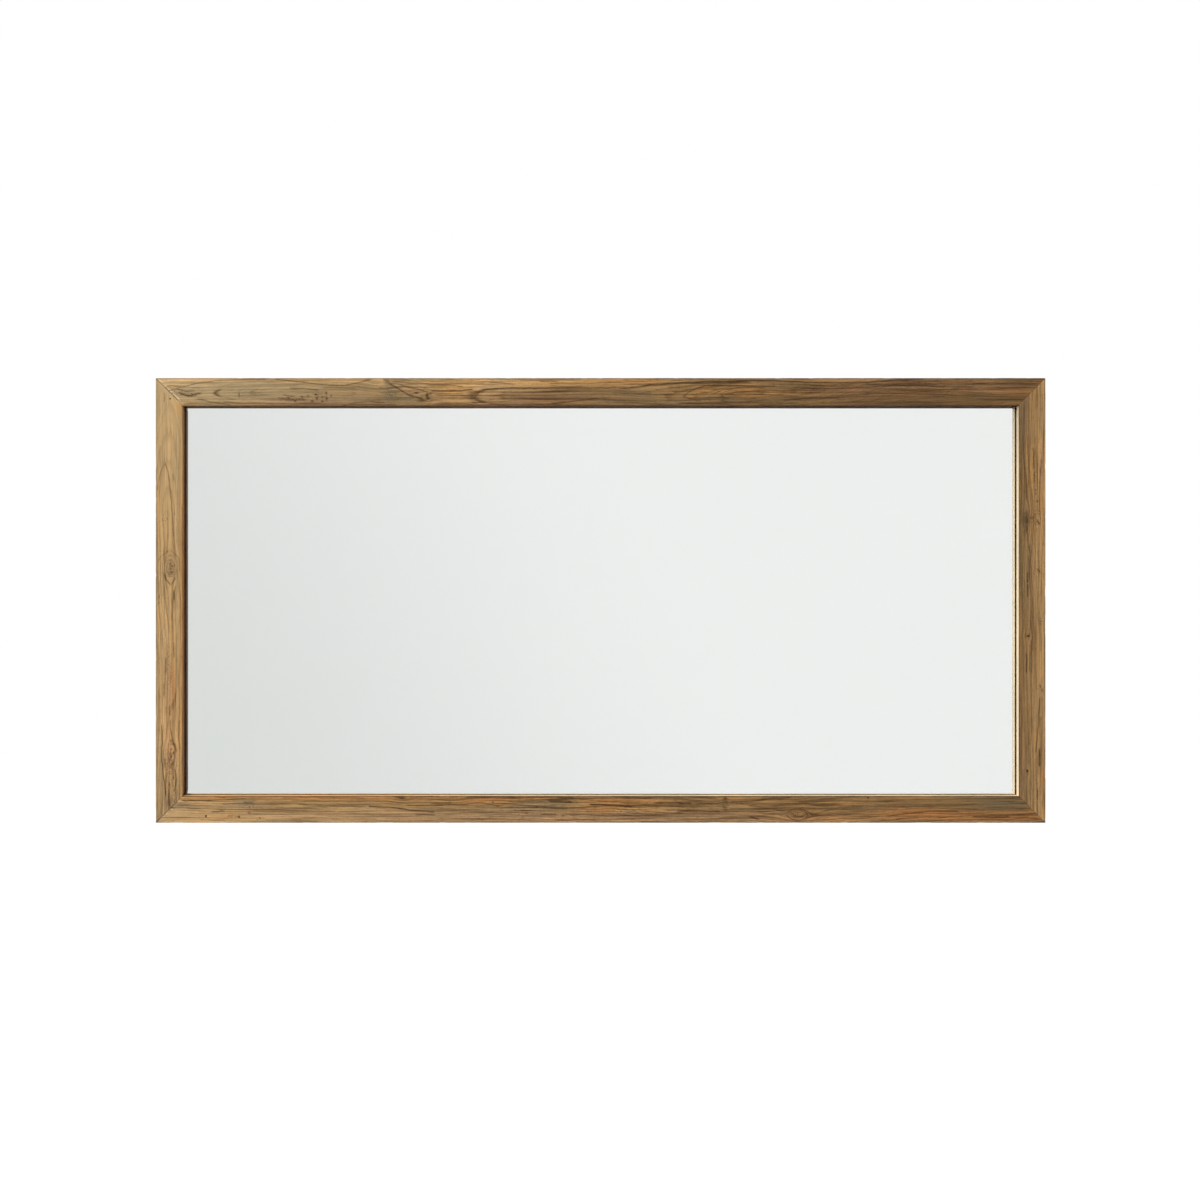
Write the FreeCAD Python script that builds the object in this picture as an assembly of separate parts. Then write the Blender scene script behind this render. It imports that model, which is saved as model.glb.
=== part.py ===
"""Wall mirror in a mitred frame of reclaimed teak, one STEP file per separate piece.

Row frame in millimetres: +X to the right as the mirror is looked at, +Z up, and the wall at Y = 0
behind it. The origin is the middle of the mirror on the wall's plane, so the frame's front faces -Y.
"""
import FreeCAD
import Part

import math
import os
from collections import namedtuple

# Frame, outside sizes
frame_width = 1800.0
frame_height = 900.0

# Moulding section. Every member has it, and its inner side is stepped for the glass and the board
face_width = 54.0
frame_depth = 32.0
lip_depth = 14.0
glass_rebate = 12.0
board_rebate = 12.0
outer_arris = 1.6
inner_arris = 1.1
back_arris = 1.0

# Mirror glass with its silvering, the tape in front of it and the packers round it
glass_thickness = 4.0
glass_clearance = 2.0
glass_edge_bevel = 0.5
silvering_thickness = 0.1
tape_thickness = 1.0
tape_width = 7.0
tape_setback = 2.0
packer_length = 60.0
packer_share = 0.25

# Backing board and its screws
board_thickness = 5.0
board_clearance = 1.0
board_edge_round = 0.4
board_screw_length = 16.0
board_screw_pitch = 270.0
board_screw_end = 95.0

# Wood screws: shank, pointed end, cross recess, and the play in the holes that they go through
screw_shank_radius = 1.75
screw_point = 4.0
screw_play = 0.1
cross_span = 3.8
cross_width = 0.9
cross_depth = 1.3
countersunk_radius = 3.5
countersunk_rim = 0.3
pan_radius = 3.8
pan_height = 2.3
pan_rim = 1.0

# Biscuits that key the mitres
biscuit_length = 56.0
biscuit_width = 23.0
biscuit_thickness = 4.0
biscuit_depth = 7.0
biscuit_play = 0.1

# Steel corner plates across the mitres on the back
plate_leg = 78.0
plate_width = 18.0
plate_thickness = 2.5
plate_inset = 5.0
plate_round = 5.0
plate_screw_length = 20.0
plate_screw_end = 10.0
plate_screw_gap = 34.0

# Strap hangers: a strap rolled round the bar of a ring
strap_width = 19.0
strap_thickness = 1.5
strap_length = 54.0
strap_round = 6.0
strap_curl_degrees = 290.0
ring_wire_radius = 2.0
ring_half_width = 14.0
ring_height = 19.0
ring_corner = 4.0
ring_play = 0.3
hanger_screw_length = 20.0
hanger_screw_first = 28.0
hanger_screw_gap = 15.0
hanger_inset = 17.0
hanger_drop = 150.0
hanger_drop_upright = 300.0

# Rubber bumpers that stand the mirror off the wall
bumper_height = 9.0
bumper_radius = 11.0
bumper_wall_radius = 9.5
bumper_round = 1.0
bumper_well_depth = 5.0
bumper_well_radius = 4.6
bumper_inset = 15.0
bumper_along = 135.0
bumper_screw_length = 20.0

# How far a cutter runs past what it cuts
overrun = 2.0

# Places that follow from the sizes above, in depth behind the front face and width in from the edge
glass_seat = face_width - glass_rebate
board_seat = glass_seat - board_rebate
glass_front = lip_depth + tape_thickness
glass_back = glass_front + glass_thickness
board_front = glass_back + silvering_thickness
board_back = board_front + board_thickness
front_y = -(bumper_height + frame_depth)
back_y = -bumper_height
glass_width = frame_width - 2 * (glass_seat + glass_clearance)
glass_height = frame_height - 2 * (glass_seat + glass_clearance)
board_width = frame_width - 2 * (board_seat + board_clearance)
board_height = frame_height - 2 * (board_seat + board_clearance)
curl_outer = ring_wire_radius + ring_play + strap_thickness
curl_inner = ring_wire_radius + ring_play

# A side of the frame: how far its outer edge lies from the middle, its length, and its turn about Y
Side = namedtuple("Side", "name reach length turn")
SIDES = {
    "bottom": Side("bottom_rail", frame_height / 2, frame_width, 0),
    "right": Side("right_stile", frame_width / 2, frame_height, -90),
    "top": Side("top_rail", frame_height / 2, frame_width, 180),
    "left": Side("left_stile", frame_width / 2, frame_height, 90),
}
CORNERS = {
    "bottom_left": (-1, -1),
    "bottom_right": (1, -1),
    "top_right": (1, 1),
    "top_left": (-1, 1),
}
ORIGIN = FreeCAD.Vector(0, 0, 0)
X_AXIS = FreeCAD.Vector(1, 0, 0)
Y_AXIS = FreeCAD.Vector(0, 1, 0)
Z_AXIS = FreeCAD.Vector(0, 0, 1)


def at_depth(depth):
    """Y of a plane that lies this far behind the frame's front face."""
    return front_y + depth


def on_side(shape, side):
    """Puts a shape in its place from a side's own frame: X along the side, Z in from its outer edge."""
    placed = shape.copy()
    placed.translate(Z_AXIS * -side.reach)
    placed.rotate(ORIGIN, Y_AXIS, side.turn)
    return placed


def rounded_edges(corners):
    """Edges of a closed outline through (point, radius) corners, an arc where the radius isn't zero."""
    arcs = []
    for i, (corner, radius) in enumerate(corners):
        to_last = (corners[i - 1][0] - corner).normalize()
        to_next = (corners[(i + 1) % len(corners)][0] - corner).normalize()
        half_turn = to_last.getAngle(to_next) / 2
        reach = radius / math.tan(half_turn)
        inward = (to_last + to_next).normalize()
        middle = corner + inward * (radius / math.sin(half_turn) - radius)
        arcs.append((corner + to_last * reach, middle, corner + to_next * reach))
    edges = []
    for i, (entry, middle, leave) in enumerate(arcs):
        if corners[i][1]:
            edges.append(Part.Arc(entry, middle, leave).toShape())
        following = arcs[(i + 1) % len(arcs)][0]
        if not leave.isEqual(following, Part.Precision.confusion()):
            edges.append(Part.LineSegment(leave, following).toShape())
    return edges


def rounded_face(corners):
    return Part.Face(Part.Wire(rounded_edges(corners)))


def block(width, height, y_front, y_back):
    """A box centred on the Y axis, from one Y to another."""
    corner = FreeCAD.Vector(-width / 2, y_front, -height / 2)
    return Part.makeBox(width, y_back - y_front, height, corner)


def turned(outline):
    """A solid turned about Y from (radius, y) points that start and end on the axis."""
    points = [FreeCAD.Vector(radius, y, 0) for radius, y in outline]
    return Part.Face(Part.makePolygon(points + points[:1])).revolve(ORIGIN, Y_AXIS, 360)


def cut_near(solid, cutters):
    """The solid without those cutters whose boxes reach it."""
    near = [cutter for cutter in cutters if solid.BoundBox.intersect(cutter.BoundBox)]
    return solid.cut(near) if near else solid


# Frame members


def member_section():
    """The stepped section of a member, in the plane X = 0 of its side's own frame."""
    steps = [
        (0, 0, outer_arris),
        (0, face_width, inner_arris),
        (lip_depth, face_width, 0),
        (lip_depth, glass_seat, 0),
        (board_front, glass_seat, 0),
        (board_front, board_seat, 0),
        (frame_depth, board_seat, 0),
        (frame_depth, 0, back_arris),
    ]
    return rounded_face([(FreeCAD.Vector(0, at_depth(d), s), radius) for d, s, radius in steps])


def mitred_member(side):
    """One length of moulding, cut at 45 degrees at both ends, in its side's own frame."""
    length = member_section().extrude(X_AXIS * side.length)
    length.translate(X_AXIS * -side.length / 2)
    far = face_width + overrun
    trapezium = [
        FreeCAD.Vector(-side.length / 2, front_y - overrun, 0),
        FreeCAD.Vector(side.length / 2, front_y - overrun, 0),
        FreeCAD.Vector(side.length / 2 - far, front_y - overrun, far),
        FreeCAD.Vector(far - side.length / 2, front_y - overrun, far),
    ]
    between_mitres = Part.Face(Part.makePolygon(trapezium + trapezium[:1]))
    return length.common(between_mitres.extrude(Y_AXIS * (frame_depth + 2 * overrun)))


def biscuit(corner, play):
    """A lens of pressed beech that lies across one mitre, its long axis along the joint."""
    tip = biscuit_length / 2 + play
    belly = biscuit_width / 2 + play
    thickness = biscuit_thickness + 2 * play
    left, right = FreeCAD.Vector(-tip, 0, 0), FreeCAD.Vector(tip, 0, 0)
    over = Part.Arc(left, FreeCAD.Vector(0, 0, belly), right).toShape()
    under = Part.Arc(right, FreeCAD.Vector(0, 0, -belly), left).toShape()
    lens = Part.Face(Part.Wire([over, under])).extrude(Y_AXIS * thickness)
    x_sign, z_sign = CORNERS[corner]
    lens.rotate(ORIGIN, Y_AXIS, -45 * x_sign * z_sign)
    x = x_sign * (frame_width - face_width) / 2
    z = z_sign * (frame_height - face_width) / 2
    lens.translate(FreeCAD.Vector(x, at_depth(biscuit_depth - play), z))
    return lens


# Screws. Each points towards -Y, and its origin is on the surface that its head is level with or sits on


def cross_recess(top):
    arm = Part.makeBox(cross_span, cross_depth + overrun, cross_width)
    arm.translate(FreeCAD.Vector(-cross_span / 2, top - cross_depth, -cross_width / 2))
    other_arm = arm.copy()
    other_arm.rotate(ORIGIN, Y_AXIS, 90)
    return arm.fuse(other_arm)


def countersunk_screw(length):
    cone_end = countersunk_rim + countersunk_radius - screw_shank_radius
    body = turned(
        [
            (0, 0),
            (countersunk_radius, 0),
            (countersunk_radius, -countersunk_rim),
            (screw_shank_radius, -cone_end),
            (screw_shank_radius, screw_point - length),
            (0, -length),
        ]
    )
    return body.cut(cross_recess(0))


def countersunk_hole(length):
    """What a countersunk screw takes out of the pieces that it goes through."""
    cone_end = countersunk_rim + countersunk_radius - screw_shank_radius
    return turned(
        [
            (0, overrun),
            (countersunk_radius + screw_play, overrun),
            (countersunk_radius + screw_play, -countersunk_rim),
            (screw_shank_radius + screw_play, -cone_end),
            (screw_shank_radius + screw_play, screw_point - length),
            (0, -length - screw_play),
        ]
    )


def pan_screw(length):
    """A screw whose head is a low cylinder under a domed crown."""
    crown_height = pan_height - pan_rim
    crown_radius = (pan_radius**2 + crown_height**2) / (2 * crown_height)
    half_angle = math.asin(pan_radius / crown_radius) / 2
    top = FreeCAD.Vector(0, pan_height, 0)
    shoulder = FreeCAD.Vector(
        crown_radius * math.sin(half_angle),
        pan_height - crown_radius * (1 - math.cos(half_angle)),
        0,
    )
    rim = FreeCAD.Vector(pan_radius, pan_rim, 0)
    crown = Part.Arc(top, shoulder, rim).toShape()
    below = [
        rim,
        FreeCAD.Vector(pan_radius, 0, 0),
        FreeCAD.Vector(screw_shank_radius, 0, 0),
        FreeCAD.Vector(screw_shank_radius, screw_point - length, 0),
        FreeCAD.Vector(0, -length, 0),
        top,
    ]
    half_section = Part.Face(Part.Wire([crown] + Part.makePolygon(below).Edges))
    return half_section.revolve(ORIGIN, Y_AXIS, 360).cut(cross_recess(pan_height))


def pan_hole(length):
    """What a pan-head screw takes out of the pieces under its head."""
    return turned(
        [
            (0, overrun),
            (screw_shank_radius + screw_play, overrun),
            (screw_shank_radius + screw_play, screw_point - length),
            (0, -length - screw_play),
        ]
    )


def placed_at(shape, places):
    """Copies of a shape, one at each place."""
    copies = []
    for place in places:
        copy = shape.copy()
        copy.translate(place)
        copies.append(copy)
    return copies


def screw_set(screw, places):
    return Part.makeCompound(placed_at(screw, places))


# Glass, tape and packers


def bevelled_pane():
    pane = block(glass_width, glass_height, at_depth(glass_front), at_depth(glass_back))
    return pane.makeChamfer(glass_edge_bevel, pane.Edges)


def silvering():
    width = glass_width - 2 * glass_edge_bevel
    height = glass_height - 2 * glass_edge_bevel
    return block(width, height, at_depth(glass_back), at_depth(board_front))


def tape_strip(side):
    """Foam tape between the lip and the glass. Those on the rails run through, the others butt on them."""
    outer = face_width - tape_setback - tape_width
    inner = face_width - tape_setback
    runs_through = side.name.endswith("_rail")
    length = side.length - 2 * (outer if runs_through else inner)
    corner = FreeCAD.Vector(-length / 2, at_depth(lip_depth), outer)
    return on_side(Part.makeBox(length, tape_thickness, tape_width, corner), side)


def glass_packer(side, share):
    """A rubber block that the glass stands on when this side is the lower one.

    It lies this share of the side's length from the side's middle.
    """
    corner = FreeCAD.Vector(-packer_length / 2, at_depth(glass_front), glass_seat)
    packer = Part.makeBox(packer_length, glass_thickness, glass_clearance, corner)
    packer.translate(X_AXIS * side.length * share)
    return on_side(packer, side)


# Backing board


def board_screw_places():
    """Evenly spaced places along each side, on the middle of the board's shoulder."""
    inset = (board_seat + glass_seat) / 2
    places = []
    for side in SIDES.values():
        run = side.length - 2 * board_screw_end
        gaps = max(1, math.ceil(run / board_screw_pitch))
        for i in range(gaps + 1):
            along = board_screw_end + run * i / gaps - side.length / 2
            point = Part.Vertex(along, at_depth(board_back), inset)
            places.append(on_side(point, side).Point)
    return places


def backing_board(holes):
    board = block(board_width, board_height, at_depth(board_front), at_depth(board_back))
    rear = [edge for edge in board.Edges if edge.BoundBox.YMin > at_depth(board_back) - board_edge_round]
    return board.makeFillet(board_edge_round, rear).cut(holes)


# Corner plates


def plate_screw_places(corner):
    """Two holes in each leg of a corner's plate."""
    x_sign, z_sign = CORNERS[corner]
    middle = plate_inset + plate_width / 2
    places = []
    for k in range(2):
        along = plate_inset + plate_leg - plate_screw_end - k * plate_screw_gap
        for in_x, in_z in ((along, middle), (middle, along)):
            x = x_sign * (frame_width / 2 - in_x)
            z = z_sign * (frame_height / 2 - in_z)
            places.append(FreeCAD.Vector(x, back_y + plate_thickness, z))
    return places


def corner_plate(corner, holes):
    """A flat L of steel with rounded ends, its legs along the rail and the stile."""
    x_sign, z_sign = CORNERS[corner]
    outline = [
        (0, 0),
        (plate_leg, 0),
        (plate_leg, plate_width),
        (plate_width, plate_width),
        (plate_width, plate_leg),
        (0, plate_leg),
    ]
    corners = []
    for in_x, in_z in outline:
        x = x_sign * (frame_width / 2 - plate_inset - in_x)
        z = z_sign * (frame_height / 2 - plate_inset - in_z)
        corners.append((FreeCAD.Vector(x, back_y, z), plate_round))
    plate = rounded_face(corners).extrude(Y_AXIS * plate_thickness)
    return cut_near(plate, holes)


# Strap hangers. Each is made with its ring's bar at the origin's X and Z, its ring end up, then turned


HANGERS = {
    "left": (-(frame_width / 2 - hanger_inset), frame_height / 2 - hanger_drop, 0),
    "right": (frame_width / 2 - hanger_inset, frame_height / 2 - hanger_drop, 0),
    "top": (hanger_drop_upright - frame_width / 2, frame_height / 2 - hanger_inset, -90),
    "bottom": (hanger_drop_upright - frame_width / 2, hanger_inset - frame_height / 2, -90),
}


def on_hanger(shape, hanger):
    """Turns a shape about Y and moves it to a hanger's place on the back."""
    x, z, turn = HANGERS[hanger]
    placed = shape.copy()
    placed.rotate(ORIGIN, Y_AXIS, turn)
    placed.translate(FreeCAD.Vector(x, 0, z))
    return placed


def on_curl(radius, degrees):
    """A point at this radius from the ring's bar, turned from the wood side over the top."""
    angle = math.radians(degrees)
    y = back_y + curl_outer - radius * math.cos(angle)
    return FreeCAD.Vector(0, y, radius * math.sin(angle))


def strap_section():
    """The strap's edge-on outline: flat on the wood, then rolled round the bar."""
    end = strap_curl_degrees
    foot = FreeCAD.Vector(0, back_y, -strap_length)
    foot_top = FreeCAD.Vector(0, back_y + strap_thickness, -strap_length)
    edges = [
        Part.LineSegment(foot, on_curl(curl_outer, 0)).toShape(),
        Part.Arc(on_curl(curl_outer, 0), on_curl(curl_outer, end / 2), on_curl(curl_outer, end)).toShape(),
        Part.LineSegment(on_curl(curl_outer, end), on_curl(curl_inner, end)).toShape(),
        Part.Arc(on_curl(curl_inner, end), on_curl(curl_inner, end / 2), on_curl(curl_inner, 0)).toShape(),
        Part.LineSegment(on_curl(curl_inner, 0), foot_top).toShape(),
        Part.LineSegment(foot_top, foot).toShape(),
    ]
    return Part.Face(Part.Wire(edges))


def hanger_screw_places(hanger):
    places = []
    for k in range(2):
        down = hanger_screw_first + k * hanger_screw_gap
        point = Part.Vertex(0, back_y + strap_thickness, -down)
        places.append(on_hanger(point, hanger).Point)
    return places


def hanger_strap(hanger, holes):
    strap = strap_section().extrude(X_AXIS * strap_width)
    strap.translate(X_AXIS * -strap_width / 2)
    half = strap_width / 2
    plan = [
        (FreeCAD.Vector(-half, back_y - overrun, -strap_length), strap_round),
        (FreeCAD.Vector(half, back_y - overrun, -strap_length), strap_round),
        (FreeCAD.Vector(half, back_y - overrun, curl_outer + overrun), 0),
        (FreeCAD.Vector(-half, back_y - overrun, curl_outer + overrun), 0),
    ]
    strap = strap.common(rounded_face(plan).extrude(Y_AXIS * (2 * curl_outer + 2 * overrun)))
    return cut_near(on_hanger(strap, hanger), holes)


def hanger_ring(hanger):
    """A D-shaped ring of round wire, at rest folded down over its strap."""
    bar_y = back_y + curl_outer
    corners = [
        (FreeCAD.Vector(-ring_half_width, bar_y, 0), ring_corner),
        (FreeCAD.Vector(ring_half_width, bar_y, 0), ring_corner),
        (FreeCAD.Vector(ring_half_width, bar_y, -ring_height), ring_half_width),
        (FreeCAD.Vector(-ring_half_width, bar_y, -ring_height), ring_half_width),
    ]
    lengths = []
    for edge in rounded_edges(corners):
        start = edge.valueAt(edge.FirstParameter)
        heading = edge.tangentAt(edge.FirstParameter)
        section = Part.Face(Part.Wire(Part.makeCircle(ring_wire_radius, start, heading)))
        if isinstance(edge.Curve, Part.Line):
            lengths.append(section.extrude(edge.valueAt(edge.LastParameter) - start))
        else:
            turn = math.degrees(edge.Length / edge.Curve.Radius)
            lengths.append(section.revolve(edge.Curve.Center, edge.Curve.Axis, turn))
    return on_hanger(lengths[0].fuse(lengths[1:]), hanger)


# Wall bumpers


def bumper_places():
    """The middles of the four bumpers on the wood, two on each rail."""
    x = frame_width / 2 - bumper_along
    z = frame_height / 2 - bumper_inset
    signs = CORNERS.items()
    return {corner: FreeCAD.Vector(x_sign * x, back_y, z_sign * z) for corner, (x_sign, z_sign) in signs}


def wall_bumper(hole):
    """A tapered rubber foot with a well for its screw."""
    foot = Part.makeCone(bumper_radius, bumper_wall_radius, bumper_height, ORIGIN, Y_AXIS)
    rim = [edge for edge in foot.Edges if edge.BoundBox.YMin > bumper_height - bumper_round and edge.Closed]
    foot = foot.makeFillet(bumper_round, rim)
    well_depth = FreeCAD.Vector(0, bumper_height - bumper_well_depth, 0)
    well = Part.makeCylinder(bumper_well_radius, bumper_well_depth + overrun, well_depth, Y_AXIS)
    drilled = hole.copy()
    drilled.translate(well_depth)
    return foot.cut([well, drilled])


def build():
    """Every piece by its node's name."""
    pieces = {}

    board_screws = board_screw_places()
    plate_screws = [place for corner in CORNERS for place in plate_screw_places(corner)]
    hanger_screws = [place for hanger in HANGERS for place in hanger_screw_places(hanger)]
    bumpers = bumper_places()
    head_seat = Y_AXIS * (bumper_height - bumper_well_depth)
    bumper_screws = [place + head_seat for place in bumpers.values()]

    board_holes = placed_at(countersunk_hole(board_screw_length), board_screws)
    plate_holes = placed_at(countersunk_hole(plate_screw_length), plate_screws)
    hanger_holes = placed_at(pan_hole(hanger_screw_length), hanger_screws)
    bumper_hole = pan_hole(bumper_screw_length)
    bumper_holes = placed_at(bumper_hole, bumper_screws)
    slots = [biscuit(corner, biscuit_play) for corner in CORNERS]

    cutters = board_holes + plate_holes + hanger_holes + bumper_holes + slots
    for side in SIDES.values():
        pieces[side.name] = cut_near(on_side(mitred_member(side), side), cutters)
    for corner in CORNERS:
        pieces["mitre_biscuit_" + corner] = biscuit(corner, 0)

    pieces["mirror_glass"] = bevelled_pane()
    pieces["silvering"] = silvering()
    for name, side in SIDES.items():
        pieces["foam_tape_" + name] = tape_strip(side)
    pieces["glass_packer_bottom_left"] = glass_packer(SIDES["bottom"], -packer_share)
    pieces["glass_packer_bottom_right"] = glass_packer(SIDES["bottom"], packer_share)
    pieces["glass_packer_side_lower"] = glass_packer(SIDES["right"], -packer_share)
    pieces["glass_packer_side_upper"] = glass_packer(SIDES["right"], packer_share)

    pieces["backing_board"] = backing_board(board_holes)
    pieces["backing_board_screws"] = screw_set(countersunk_screw(board_screw_length), board_screws)

    for corner in CORNERS:
        pieces["corner_plate_" + corner] = corner_plate(corner, plate_holes)
    pieces["corner_plate_screws"] = screw_set(countersunk_screw(plate_screw_length), plate_screws)

    for hanger in HANGERS:
        pieces["hanger_strap_" + hanger] = hanger_strap(hanger, hanger_holes)
        pieces["hanger_ring_" + hanger] = hanger_ring(hanger)
    pieces["hanger_screws"] = screw_set(pan_screw(hanger_screw_length), hanger_screws)

    for corner, place in bumpers.items():
        (pieces["wall_bumper_" + corner],) = placed_at(wall_bumper(bumper_hole), [place])
    pieces["wall_bumper_screws"] = screw_set(pan_screw(bumper_screw_length), bumper_screws)
    return pieces


os.makedirs("parts", exist_ok=True)
for node, shape in build().items():
    if not shape.isValid():
        raise ValueError(node + " is not a valid solid")
    print(node, len(shape.Solids), round(shape.Volume))
    shape.exportStep("parts/" + node + ".step")
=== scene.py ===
import math

import bpy
import numpy as np
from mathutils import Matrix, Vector
from mathutils.geometry import tessellate_polygon


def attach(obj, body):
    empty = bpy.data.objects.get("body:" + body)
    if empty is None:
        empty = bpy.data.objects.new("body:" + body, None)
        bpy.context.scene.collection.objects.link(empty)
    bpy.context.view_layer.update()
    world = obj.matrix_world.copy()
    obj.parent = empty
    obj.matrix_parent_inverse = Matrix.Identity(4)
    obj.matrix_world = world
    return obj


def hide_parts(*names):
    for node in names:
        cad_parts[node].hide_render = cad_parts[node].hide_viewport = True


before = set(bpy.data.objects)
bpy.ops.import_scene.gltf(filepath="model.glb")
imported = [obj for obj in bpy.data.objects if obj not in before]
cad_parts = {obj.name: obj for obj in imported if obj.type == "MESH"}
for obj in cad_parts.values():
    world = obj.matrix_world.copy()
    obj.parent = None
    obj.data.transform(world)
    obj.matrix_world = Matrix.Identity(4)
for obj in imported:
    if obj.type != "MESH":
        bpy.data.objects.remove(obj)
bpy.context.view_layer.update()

# Teak members
# Four lengths of reclaimed teak, planed flat and brushed, with sawn mitres at their ends. The grain,
# knots, cracks and old nail holes stand in low relief, and the edges are worn. Sizes are in mm, and
# a place on a member is how far along it and how far in from its outer edge a point lies.
MM = 0.001
face_front = -41.0
frame_half_width = 900.0
frame_half_height = 450.0
face_width = 54.0
member_depth = 32.0
lip_depth = 14.0
glass_seat = 42.0
board_step = 19.1
board_seat = 30.0
outer_arris = 1.6
inner_arris = 1.1
back_arris = 1.0
mitre_zone = 60.0
mitre_gap = 0.12
sharp_angle = math.radians(40)
on_face, on_lip, in_rebate, on_back, on_outside, on_inner_arris, on_outer_arris = range(7)


def ripple(x, y, seed):
    """Smooth random values from -1 to 1 over a plane."""
    size = 64
    lattice = np.random.default_rng(seed).uniform(-1.0, 1.0, (size, size))
    low_x, low_y = np.floor(x), np.floor(y)
    part_x, part_y = (part * part * (3 - 2 * part) for part in (x - low_x, y - low_y))
    i, j = low_x.astype(int) % size, low_y.astype(int) % size
    i_next, j_next = (i + 1) % size, (j + 1) % size
    near = lattice[i, j] * (1 - part_x) + lattice[i_next, j] * part_x
    far = lattice[i, j_next] * (1 - part_x) + lattice[i_next, j_next] * part_x
    return near * (1 - part_y) + far * part_y


def drawn(points, along, ease=10):
    """Height of a smooth line drawn through (along, height) points."""
    grid = np.arange(-1000.0, 1001.0, 1.0)
    weights = np.hanning(2 * ease + 3)
    line = np.pad(np.interp(grid, *zip(*points)), ease + 1, mode="edge")
    line = np.convolve(line, weights / weights.sum(), mode="valid")
    return np.interp(along, grid, line)


def between(along, start, end, fade=5.0):
    """1 from start to end, fading to 0 outside."""
    rise = np.clip((along - start) / fade + 1, 0, 1)
    fall = np.clip((end - along) / fade + 1, 0, 1)
    return rise * fall


def patch(along, inward, where):
    """A soft oval patch, given by its place along and inward, its half length and its half width."""
    return np.exp(-((along - where[0]) / where[2]) ** 2 - ((inward - where[1]) / where[3]) ** 2)


def wood_figure(wood, along, inward, depth):
    """Growth rings, grain, colour and flaws at each point of a member, and how deep they are cut."""
    seed = wood["seed"]

    def stroke(points, width, wander_length, wander_seed, ease, fade):
        """A thin line through the points that wanders a little."""
        wander = 0.5 * ripple(along / wander_length, inward * 0, wander_seed)
        line = np.exp(-((inward - drawn(points, along, ease) - wander) / (1.2 * width)) ** 2)
        return line * between(along, points[0][0], points[-1][0], fade)

    bent = inward + 2.6 * ripple(along / 150 + 7, inward / 40, seed)
    bent = bent + 0.6 * ripple(along / 70, inward / 16, seed + 1)
    for where, ring_size in wood["knots"]:
        offset = inward - where[1]
        near = np.exp(-((along - where[0]) / (2.2 * where[2])) ** 2 - (offset / (2.6 * ring_size)) ** 2)
        bent = bent - ring_size * np.tanh(offset / (0.6 * ring_size)) * near
    heart = drawn(wood["heart"], along, 14)
    below = drawn(wood["heart_depth"], along, 8)
    growth = np.hypot(bent - heart, below - depth)
    bent = bent + depth * np.tanh((inward - 40) / 8)
    face_reach = 4.0
    face = np.exp(-depth / face_reach)
    marks = np.zeros_like(growth)
    specks = np.zeros_like(growth)
    cut = np.zeros_like(growth)
    for where, ring_size in wood["knots"]:
        away = np.hypot((along - where[0]) / where[2], (inward - where[1]) / where[3])
        inside = np.clip((1.25 - away) / 0.4, 0, 1) * face
        growth = growth * (1 - inside) + (away * ring_size * 1.6) * inside
    for radius, width, strength, start, end, branch in wood["ring_lines"]:
        line = np.exp(-((growth - radius) / width) ** 2) * between(along, start, end, 8)
        if branch:
            line = line * (np.sign(inward - heart) == branch)
        marks = np.maximum(marks, strength * line)
    for points, width, strength in wood["lines"]:
        line = stroke(points, width, 11, seed + 5, 6, 5)
        marks = np.maximum(marks, strength ** 0.8 * line)
        cut = np.maximum(cut, 0.25 * strength * line)
    for points, width, strength, deep in wood["cracks"]:
        line = stroke(points, width, 9, seed + 6, 4, 9)
        marks = np.maximum(marks, strength * line)
        cut = np.maximum(cut, deep * line)
    for spot in wood["spots"]:
        marks = np.maximum(marks, spot[4] * patch(along, inward, spot))
    hole_depth = 1.5
    for hole in wood["nail_holes"]:
        away = np.hypot((along - hole[0]) / hole[2], (inward - hole[1]) / hole[3])
        inside = np.clip((1.3 - away) / 0.5, 0, 1)
        marks = np.maximum(marks, 0.95 * inside)
        cut = np.maximum(cut, hole_depth * inside)
    for spot in wood["specks"]:
        specks = np.maximum(specks, spot[4] * patch(along, inward, spot))
    # The tone is partly the wood's own and partly painted light: the rails darken from left to right as the
    # key light falls off
    tone = drawn(wood["tone"], along, 40)
    lean = drawn(wood["tone_lean"], along, 40)
    half_face = face_width / 2
    tone = tone * (1 + lean * (inward - half_face) / half_face)
    warmth = drawn(wood["warmth"], along, 40)
    blush = np.zeros_like(growth)
    for where in wood["tints"]:
        soft = patch(along, inward, where)
        tone = tone * (1 + where[4] * soft)
        warmth = warmth + where[5] * soft
        blush = blush + where[6] * soft
    marks, specks, cut = marks * face, specks * face, cut * face
    ring_show = drawn(wood["ring_show"], along, 20)
    contrast = drawn(wood["contrast"], along, 20)
    for where in wood["calm"]:
        quiet = 1 - where[4] * patch(along, inward, where)
        ring_show = ring_show * quiet
        contrast = contrast * quiet
    return bent, growth, tone, warmth, blush, marks, specks, cut, ring_show, contrast


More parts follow.
